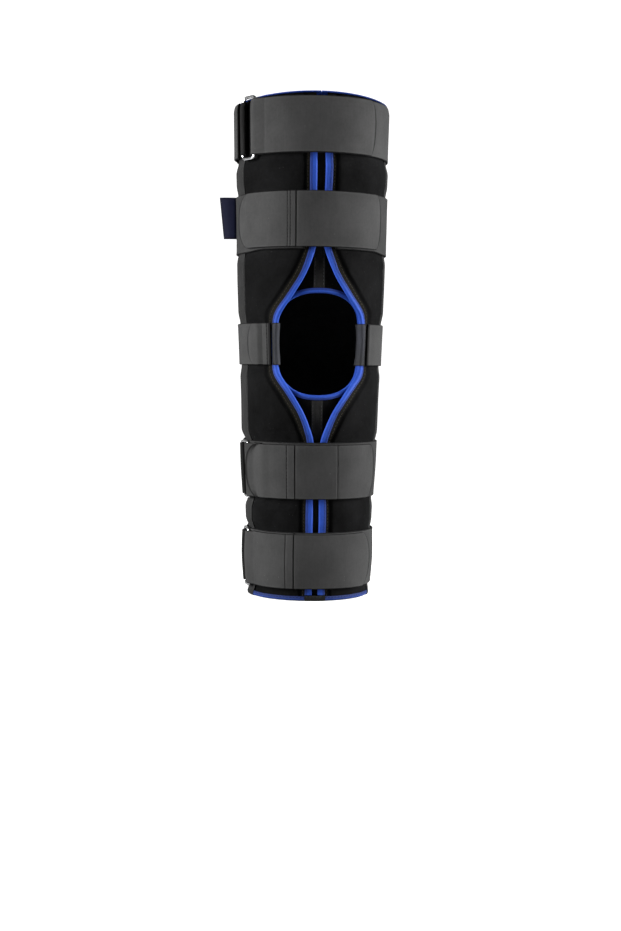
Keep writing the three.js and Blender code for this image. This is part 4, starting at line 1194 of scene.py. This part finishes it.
def strapRows(width):
    rounding = strapLook["edgeRound"]
    ends = np.array([0.04, 0.3, 0.7, 1.2]) * rounding
    half = np.concatenate([ends, np.linspace(strapLook["rowInset"], width / 2, strapLook["rows"] // 2)])
    away = np.concatenate([half, half[::-1][1:]])
    rows = np.concatenate([half / (width / 2) - 1, 1 - half[::-1][1:] / (width / 2)])
    girth = np.sqrt(1 - (1 - np.clip(away / rounding, 0, 1)) ** 2)
    return rows, away, girth


# points of a path given by its corners, evenly spaced, with more of them round each mark
def pathPoints(corners, step, marks=()):
    corners = np.array(corners)
    along = runLengths(corners)
    at = spread(0, along[-1], step)
    close = [along[-1] - abs(corners[-1, 0] - mark) + seamSpots for mark in marks]
    at = np.unique(np.clip(np.concatenate([at, along, along[-1] - tipSpots, *close]), 0, along[-1]))
    return np.stack([np.interp(at, along, corners[:, i]) for i in range(2)], -1)


# a strap's closed body; ends are pairs of angles, a tip's and its corners', and seams are angles with
# a lean and a softness; tips and seams take the dark cut-edge colour as a painted shade line, which the
# softness weakens
def strapBody(node, path, thickness, ends=(None, None), seams=(), stepAt=None, relief=None, shift=None,
              seed=1, width=None, curl=1.0):
    low, high = bands[node]
    width = width or high - low
    rows, away, girth = strapRows(width)
    path = np.asarray(path)
    normal = leftOf(path)
    steps = runLengths(path)
    arc = np.repeat(path[:, :1], len(rows), axis=1)
    tipGirth = np.ones(len(path))
    outline = (1 - np.abs(rows) ** strapLook["tipFullness"]) ** strapLook["tipBluntness"]
    for end, index in zip(ends, (0, -1)):
        if end is not None:
            reach = arcOf(end[1], node) - arcOf(end[0], node)
            fromEnd = np.abs(steps - steps[index])
            arc = arc + np.clip(1 - fromEnd / abs(reach), 0, 1)[:, None] * reach * (1 - outline)
            tipGirth = np.minimum(tipGirth, np.sqrt(1 - (1 - np.clip(fromEnd / mm, 0.05, 1)) ** 2))
    half = thickness / 2 * girth * tipGirth[:, None]
    wave = ripple(arc, rows * width / 2, seed, 40 * mm, 60 * mm) * strapLook["wave"]
    lifted = 0.5 + 0.5 * ripple(arc, rows * 0.2, seed + 50, 70 * mm, 1)
    curlRise = strapLook["curl"] * curl * np.abs(rows) ** 8 * lifted
    extra = relief(angleIn(arc, node)) if relief else 0
    seamAway = np.ones(arc.shape)
    for seam, lean, soft in seams:
        distance = np.abs(arc - arcOf(seam, node) + lean * rows)
        extra = extra - strapLook["seamDepth"] * hump(distance, strapLook["seamWidth"])
        seamAway = np.minimum(seamAway, distance + soft)
    if stepAt is not None:
        past = (arc - arcOf(stepAt, node)) / strapLook["patchEase"] + 0.5
        extra = extra - strapLook["patchDrop"] * smooth(past)
    outLift = path[:, 1:] + normal[:, 1:] * half + wave + curlRise + extra
    inLift = path[:, 1:] - normal[:, 1:] * half + wave * 0.5 + curlRise
    arcs = thereAndBack(arc + normal[:, :1] * half, arc - normal[:, :1] * half, axis=1)
    both = thereAndBack(rows)
    heights = (low + high) / 2 + both * width / 2 + 0 * arcs
    if shift:
        heights = heights + shift(angleIn(path[:, :1], node), path[:, 1:], both)
    sections = legPoint(angleIn(arcs, node), heights, thereAndBack(outLift, inLift, axis=1))
    around = steps[:, None] + thereAndBack(arc, axis=1) - path[:, :1]
    endAway = strapLook["tipShade"] * np.minimum(steps, steps[-1] - steps)[:, None]
    # tips and seams count as edges, so the dark cut-edge colour paints a shade line along them
    edge = np.minimum(np.minimum(thereAndBack(away), endAway), thereAndBack(seamAway, axis=1))
    return sweep(sections, (around, heights), edge)


# path round a ring's bar: from one lift to another on the far side of the bar
def barTurn(bar, heading, radius, count=9):
    turns = np.linspace(0, math.pi, count)[1:-1]
    return [(bar + heading * radius * math.sin(turn), ringLift - radius * math.cos(turn)) for turn in turns]


# starts are the angles where the straps are sewn on; a ring stands out past its strap's edges
rings = {
    "top": {"start": -74.6, "overhang": 4 * mm, "cloth": strapCloth},
    # the shin's strap takes the darker strap cloth, as painted shade under its closing strap
    "shin": {"start": -98, "overhang": 2 * mm, "cloth": shadedStrapCloth},
    "hem": {"start": -101, "overhang": 3 * mm, "cloth": strapCloth},
}
ringShape = {"width": 19.5 * mm, "corner": 5 * mm, "loopOverlap": 12, "runout": 10}
sewnRows = (1.6 * mm, 4.2 * mm)  # two rows of stitches at a strap's sewn start


def ringBars(word):
    middle = arcOf(ringAngles[word], f"{word}_strap")
    reachOut = (ringShape["width"] - layers["ringWire"]) / 2
    return middle - reachOut, middle + reachOut


# the base strap under the fold stands out a little above the part that lies over it
def baseShift(angle, level, rows):
    return 2 * mm * smooth((ringLift - level) / mm) * (1 + rows) / 2


def makeRingStrap(word, end, blunt=False, seams=(), stepAt=None, shift=None, seed=1):
    node = f"{word}_strap"
    thickness = layers["strap"]
    turn = arcOf(360, node)
    seat = baseLift + 2 * (layers["loop"] + layers["gap"]) + thickness / 2
    flat = baseLift + thickness / 2
    start = arcOf(rings[word]["start"], node)
    loopEnd = start - arcOf(ringShape["loopOverlap"], node)
    runout = arcOf(ringShape["runout"], node)
    bar = ringBars(word)[1] - turn
    tip = arcOf(end[0], node) - turn
    radius = layers["ringWire"] / 2 + layers["gap"] + thickness / 2
    over = closingLift + thickness / 2
    corners = [(start, seat), (loopEnd - 1 * mm, seat), (loopEnd - runout, flat), (bar + 1 * mm, flat),
               (bar, ringLift - radius)]
    corners += barTurn(bar, -1, radius)
    corners += [(bar, ringLift + radius), (bar + 2 * mm, ringLift + radius - 0.1 * mm),
                (bar + runout, over), (tip, over)]
    turned = (end[0] - 360, end[1] - 360)
    turnedSeams = [(angle - 360, lean, soft) for angle, lean, soft in seams]
    path = pathPoints(corners, strapLook["step"], [arcOf(seam[0], node) for seam in turnedSeams])
    bodies = [strapBody(node, path, thickness, (None, None if blunt else turned), turnedSeams,
                        None if stepAt is None else stepAt - 360, shift=shift, seed=seed)]
    for inset in sewnRows:
        bodies += acrossStitches(node, start - inset, seat + thickness / 2)
    makePiece(f"{word}_ring_strap", bodies, [rings[word]["cloth"], blackThread], node)


# a row of stitches across a strap, at a distance round the leg
def acrossStitches(node, arc, lift):
    low, high = bands[node]
    margin = strapLook["stitchMargin"]
    return upStitches(lambda run: angleIn(arc, node) + 0 * run, low + margin, high - margin, lift,
                      thread["strapRadius"])


makeRingStrap("top", (45.5, 39.5), seed=61)
makeRingStrap("hem", (60, 47), seams=[(-26, 0, 0.45 * mm), (-18.9, 0, 0.15 * mm)], stepAt=-18.9,
              shift=baseShift, seed=62)
makeRingStrap("shin", (-50, -50), blunt=True, shift=baseShift, seed=63)


# Black tape doubled round the ring's far bar and sewn down under the strap's start
def makeAnchorLoop(word):
    node = f"{word}_strap"
    left = ringBars(word)[0]
    thickness = layers["loop"]
    start = arcOf(rings[word]["start"], node)
    end = start - arcOf(ringShape["loopOverlap"], node)
    sewn = min(start + 1 * mm, left - 7 * mm)
    lower = baseLift + thickness / 2
    upper = lower + thickness + layers["gap"]
    radius = layers["ringWire"] / 2 + layers["gap"] + thickness / 2
    corners = [(end, lower), (sewn, lower), (left - 1 * mm, ringLift - radius), (left, ringLift - radius)]
    corners += barTurn(left, 1, radius)
    corners += [(left, ringLift + radius), (left - 1 * mm, ringLift + radius), (sewn, upper), (end, upper)]
    low, high = bands[node]

    def grooved(angle):
        return 0.12 * mm * np.sin(np.radians(angle) * brace["meanRadius"] / (1.9 * mm) * 2 * math.pi)

    body = strapBody(node, pathPoints(corners, strapLook["tapeStep"]), thickness, relief=grooved, seed=71,
                     width=high - low - 2 * mm, curl=0.0)
    makePiece(f"{word}_loop_tape", [body], [blackTape], f"{word}_anchor_loop")


def makeRing(word):
    node = f"{word}_strap"
    low, high = bands[node]
    radius = layers["ringWire"] / 2
    halfAcross = ringShape["width"] / 2 - radius
    halfUp = (high - low) / 2 + rings[word]["overhang"] - radius
    corner = ringShape["corner"] - radius
    path = []
    for quarter in range(4):
        turns = (quarter + np.linspace(0, 1, 9)) * math.pi / 2
        centre = (quarter + 0.5) * math.pi / 2
        across = math.copysign(halfAcross - corner, math.cos(centre)) + corner * np.cos(turns)
        up = math.copysign(halfUp - corner, math.sin(centre)) + corner * np.sin(turns)
        path += list(zip(across, up, np.cos(turns), np.sin(turns)))
    path = np.array(path)
    roll = np.linspace(0, 2 * math.pi, 16, endpoint=False)
    out = radius * np.cos(roll)
    across = path[:, :1] + out * path[:, 2:3]
    up = path[:, 1:2] + out * path[:, 3:4]
    angle = angleIn(arcOf(ringAngles[word], node) + across, node)
    height = (low + high) / 2 + up
    flatPress = brace["strapPress"] * (pressAt(height) - 1)
    sections = legPoint(angle, height, ringLift + radius * np.sin(roll) + flatPress)
    body = sweep(sections, (0, 0), 1, closed=True)
    makePiece(f"{word}_wire_ring", [body], [wireMetal], f"{word}_ring")


for word in rings:
    makeAnchorLoop(word)
    makeRing(word)
print("ring straps made")


baseStraps = {
    "thighStart": 14 * mm,
    "kneeSetback": 4 * mm,  # the knee strap's front ends, outside the flaps' edges
    "kneeEnd": 310,
    "sag": 1.6 * mm,
    "tipSag": 1.8 * mm,
    "tipSagAngles": (45, 20, 140, 40),  # where it starts and ends, each with its ease
}


def makeBaseStrap(name, node, start, end, cloth, seed, shift=None):
    thickness = layers["strap"]
    lift = baseLift + thickness / 2
    path = pathPoints([(start, lift), (end, lift)], strapLook["step"])
    makePiece(name, [strapBody(node, path, thickness, shift=shift, seed=seed)], [cloth], node)


# the thigh's base strap hangs lower than its closing strap, most of all beside the closing strap's tips
def thighSag(angle, level, rows):
    fromFront = np.minimum(angle, 360 - angle)
    first, firstEase, last, lastEase = baseStraps["tipSagAngles"]
    beside = smooth((fromFront - first) / firstEase) * smooth((last - fromFront) / lastEase)
    return -(baseStraps["sag"] + baseStraps["tipSag"] * beside) * (1 - rows) / 2


thighEnd = arcOf(360, "thigh_strap") - baseStraps["thighStart"]
# the thigh's base strap takes the darker strap cloth, as painted shade under its closing strap
makeBaseStrap("thigh_base_strap", "thigh_strap", baseStraps["thighStart"], thighEnd, shadedStrapCloth, 81, thighSag)
makeBaseStrap("knee_base_strap", "knee_strap", panel["widest"][1] + baseStraps["kneeSetback"],
              arcOf(baseStraps["kneeEnd"], "knee_strap"), strapCloth, 82)


def flatLift(angle):
    return closingLift + 0 * angle


# the shin's closing strap lies over the fold of the strap under it, then comes down to the base strap
def shinLift(angle):
    right = angleIn(ringBars("shin")[1], "shin_strap")
    over = layers["strap"] + layers["liningGap"]
    foldEnd = right + ringShape["runout"]
    climb = mix(foldedLift, closingLift, smooth((angle - right - 2) / ringShape["runout"])) + over
    fade = closingLift + over * (1 - smooth((angle - foldEnd - ringShape["runout"]) / ringShape["runout"]))
    return np.where(angle < foldEnd + 2, climb, fade)


# tips are angles of each end's middle and corners; the first seams have rows of stitches
closingStraps = {
    "thigh": {
        "tips": [(-73.7, -58.3), (55, 47.4)], "liftAt": flatLift, "seed": 83, "stitched": 2,
        "seams": [(-23.8, 0, 0.5 * mm), (-21.6, 0, 0.5 * mm), (-17.7, 0, 0.1 * mm)], "stepAt": -17.7,
    },
    "shin": {
        "tips": [(-66, -51), (61.5, 51.4)], "liftAt": shinLift, "seed": 84, "stitched": 1,
        "seams": [(-24.7, 0, 0.45 * mm), (-18, 0, 0.15 * mm), (17.2, 0.8 * mm, 0.6 * mm)], "stepAt": -18,
    },
}


def makeClosingStrap(word):
    spec = closingStraps[word]
    node = f"{word}_strap"
    thickness = layers["closing"]
    left, right = [arcOf(tip[0], node) for tip in spec["tips"]]
    marks = [arcOf(seam[0], node) + seamSpots for seam in spec["seams"]]
    arcs = [spread(left, right, strapLook["step"]), left + tipSpots, right - tipSpots]
    arcs = np.unique(np.concatenate(arcs + marks))
    angles = angleIn(arcs, node)
    rise = sum(smooth(1 - np.abs(angles - tip[0]) / strapLook["tipRiseReach"]) for tip in spec["tips"])
    path = np.stack([arcs, spec["liftAt"](angles) + thickness / 2 + strapLook["tipRise"] * rise], -1)
    bodies = [strapBody(node, path, thickness, spec["tips"], spec["seams"], spec["stepAt"],
                        seed=spec["seed"])]
    for seam in spec["seams"][:spec["stitched"]]:
        lift = float(spec["liftAt"](seam[0])) + thickness
        bodies += acrossStitches(node, arcOf(seam[0], node), lift)
    makePiece(f"{word}_top_strap", bodies, [strapCloth, blackThread], f"{word}_closing_strap")


for word in closingStraps:
    makeClosingStrap(word)


# Hook tab beside the patella opening, over the knee strap's end
hookTab = {"tip": -63.5, "corners": -54.8, "ramp": -50, "seam": -3.2, "stitchInset": 3.6 * mm}


def makeHookTab():
    node = "knee_strap"
    thickness = layers["closing"]
    low = baseLift + thickness / 2
    high = closingLift + thickness / 2
    start = -panel["widest"][-1] - baseStraps["kneeSetback"]
    ramp = arcOf(hookTab["ramp"], node)
    corners = [(arcOf(hookTab["tip"], node), high), (ramp - 1 * mm, high), (ramp + 3 * mm, low), (start, low)]
    seam = angleIn(start, node) + hookTab["seam"]
    path = pathPoints(corners, strapLook["tapeStep"], [arcOf(seam, node)])
    ends = ((hookTab["tip"], hookTab["corners"]), None)
    bodies = [strapBody(node, path, thickness, ends, [(seam, 0, 0.2 * mm)], seed=85)]
    bodies += acrossStitches(node, start - hookTab["stitchInset"], low + thickness / 2)
    makePiece("knee_hook_end", bodies, [strapCloth, blackThread], "knee_hook_tab")


makeHookTab()
print("closing straps made")


# Tabs folded over the flaps' edges, round the opening and onto the tongue's back
kneeTab = {
    "rows": 33, "frontLap": 2.4 * mm, "backLap": 3 * mm, "ledge": 0.2 * mm, "fold": 2.2 * mm,
    "stitchInset": 1.3 * mm,
}


def openingEdge(away, side):
    rise = min(away / patella["halfHeight"], 1)
    return patella["halfWidth"][side] * (1 - rise ** patella["roundness"]) ** (1 / patella["roundness"])


# a line through corners, each rounded to a short curve
def roundedLine(corners, radius, count=6):
    corners = np.array(corners)
    line = [corners[0]]
    for before, corner, after in zip(corners, corners[1:], corners[2:]):
        pull = [(end - corner) / np.linalg.norm(end - corner) for end in (before, after)]
        room = [min(radius, 0.48 * np.linalg.norm(end - corner)) for end in (before, after)]
        start, finish = [corner + way * reach for way, reach in zip(pull, room)]
        for share in np.linspace(0, 1, count):
            line.append((1 - share) ** 2 * start + 2 * share * (1 - share) * corner + share ** 2 * finish)
    line.append(corners[-1])
    return np.array(line)


def makeKneeTab(word, side):
    low, high = bands["knee_strap"]
    thickness = layers["tab"]
    front = flapBindingLift + layers["binding"] + layers["gap"] + thickness / 2
    ledge = flapBindingInside - layers["binding"] - layers["gap"] - thickness / 2
    back = tongueInside - layers["binding"] - layers["liningGap"] - thickness / 2
    frontEnd = panel["widest"][side] + kneeTab["frontLap"]
    rows = np.linspace(-1, 1, kneeTab["rows"])
    sections, places, edges = [], [], []
    for row in rows:
        away = abs(row) * (high - low) / 2
        atOpening = openingEdge(away, side) - layers["liningGap"] - thickness / 2
        atFlap = min(openingEdge(away, side), float(flapEdge(kneeHeight + away, side)))
        atFlap = min(atFlap - layers["liningGap"] - thickness / 2, atOpening - kneeTab["ledge"])
        corners = [(frontEnd, front), (atFlap, front), (atFlap, ledge), (atOpening, ledge), (atOpening, back),
                   (patella["halfWidth"][side] + kneeTab["backLap"], back)]
        line = roundedLine(corners, kneeTab["fold"])
        normal = leftOf(line) * thickness / 2
        loop = thereAndBack(line + normal, line - normal)
        height = kneeHeight + row * (high - low) / 2
        sections.append(legPoint(side * angleOf(loop[:, 0], kneeHeight), height + 0 * loop[:, 0], loop[:, 1]))
        steps = thereAndBack(runLengths(line))
        places.append(steps)
        edges.append(np.minimum(np.minimum(steps, steps.max() - steps), (high - low) / 2 - away))
    heights = kneeHeight + rows[:, None] * (high - low) / 2
    bodies = [sweep(np.array(sections), (np.array(places), heights), np.array(edges))]
    stitched = side * angleOf(frontEnd - kneeTab["stitchInset"], kneeHeight)
    bodies += upStitches(lambda run: stitched + 0 * run, low + 2 * mm, high - 2 * mm, front + thickness / 2,
                         thread["fineRadius"])
    makePiece(f"{word}_knee_tab_tape", bodies, [tabTape, blackThread], f"{word}_knee_tab")


for word, side in sides.items():
    makeKneeTab(word, side)

# Bare flag label on the thigh strap
labelShape = {
    "height": 39 * mm, "reach": 14 * mm, "foot": 7 * mm, "rise": 7 * mm, "angle": -100,
    "thickness": 0.6 * mm, "lean": 0.09, "edgeRound": 0.4 * mm, "step": 0.8 * mm, "rows": 25,
}


def makeLabel():
    middle = middleOf("thigh_strap") + labelShape["rise"]
    radius = float(halfWidthAt(middle))
    thickness = labelShape["thickness"]
    base = math.radians(labelShape["angle"]) * radius
    lift = closingLift + thickness / 2
    corners = [(base - labelShape["foot"], lift), (base - 2 * mm, lift), (base - 0.6 * mm, lift + 0.2 * mm),
               (base - 0.2 * mm, lift + 1.2 * mm)]
    corners += [(base - 0.25 * mm + 0.5 * mm * math.sin(share * math.pi), lift + share * labelShape["reach"])
                for share in np.linspace(0.15, 0.97, 12)]
    path = pathPoints(corners, labelShape["step"])
    rows = np.linspace(-1, 1, labelShape["rows"])
    away = (1 - np.abs(rows)) * labelShape["height"] / 2
    girth = np.sqrt(1 - (1 - np.clip(away / labelShape["edgeRound"], 0.05, 1)) ** 2)
    normal = leftOf(path) * thickness / 2
    arcs, lifts = [thereAndBack(path[:, i:i + 1] + normal[:, i:i + 1] * girth,
                                path[:, i:i + 1] - normal[:, i:i + 1] * girth, axis=1) for i in range(2)]
    heights = middle + thereAndBack(rows) * labelShape["height"] / 2
    lean = labelShape["lean"] * (heights - middle) * smooth((lifts - lift) / labelShape["reach"])
    sections = legPoint(np.degrees(arcs / radius), heights, lifts + lean)
    steps = runLengths(path)[:, None]
    body = sweep(sections, (steps, heights), np.minimum(thereAndBack(away), steps[-1] - steps))
    makePiece("label_flag", [body], [labelCloth], "label")


makeLabel()
print("tabs and label made")

# Studio: a round floor that curves up into a wall, and soft lights
studio = {
    "floorRadius": 2.6,
    "bend": 1.2,
    "wallHeight": 3.2,
    "worldLight": 0.075,
    "backdropGlow": 0.9,
}
# each softbox's place, size and power
softboxes = {
    "right": ((1.95, -0.4, 0.6), (0.7, 1.5), 168),
    "left": ((-1.95, -0.45, 0.6), (0.7, 1.5), 144),
    "front": ((-0.3, -2.2, 1.7), (1.4, 1.0), 0.5),
    "back": ((0.4, 2.4, 2.1), (1.4, 1.0), 16),
}


def makeStudio():
    radius, bend = studio["floorRadius"], studio["bend"]
    turns = np.linspace(0, math.pi / 2, 16)
    profile = [(0.001, 0), (0.5, 0), (1.5, 0)]
    profile += [(radius + bend * math.sin(turn), bend * (1 - math.cos(turn))) for turn in turns]
    profile.append((radius + bend, studio["wallHeight"]))
    profile = np.array(profile)
    around = np.linspace(0, 2 * math.pi, 96, endpoint=False)
    points = np.stack([profile[:, 0] * np.cos(around)[:, None], profile[:, 0] * np.sin(around)[:, None],
                       profile[:, 1] + 0 * around[:, None]], -1)
    grid = np.arange(points.shape[0] * points.shape[1]).reshape(points.shape[:2])
    turned = np.roll(grid, -1, axis=0)
    faces = np.stack([grid[:, :-1], turned[:, :-1], turned[:, 1:], grid[:, 1:]], -1).reshape(-1, 4)
    mesh = bpy.data.meshes.new("studio_bowl")
    mesh.from_pydata(points.reshape(-1, 3).tolist(), [], faces.tolist())
    mesh.shade_smooth()
    mesh.materials.append(makeFloor())
    bowl = bpy.data.objects.new("studio_bowl", mesh)
    bpy.context.scene.collection.objects.link(bowl)


def addLight(name, place, size, power):
    data = bpy.data.lights.new(name, "AREA")
    data.shape = "RECTANGLE"
    data.size, data.size_y = size
    data.energy = power
    light = bpy.data.objects.new(name, data)
    light.location = place
    ahead = Vector((0, 0, brace["length"] / 2)) - Vector(place)
    light.rotation_euler = ahead.to_track_quat("-Z", "Y").to_euler()
    bpy.context.scene.collection.objects.link(light)


def makeLights():
    for word, (place, size, power) in softboxes.items():
        addLight(f"{word}_softbox", place, size, power)
    world = bpy.data.worlds.new("studio_world")
    world.use_nodes = True
    background = world.node_tree.nodes["Background"]
    background.inputs["Color"].default_value = (1, 1, 1, 1)
    background.inputs["Strength"].default_value = studio["worldLight"]
    bpy.context.scene.world = world
    bpy.context.scene.view_settings.view_transform = "Standard"


makeStudio()
makeLights()
print("studio made")
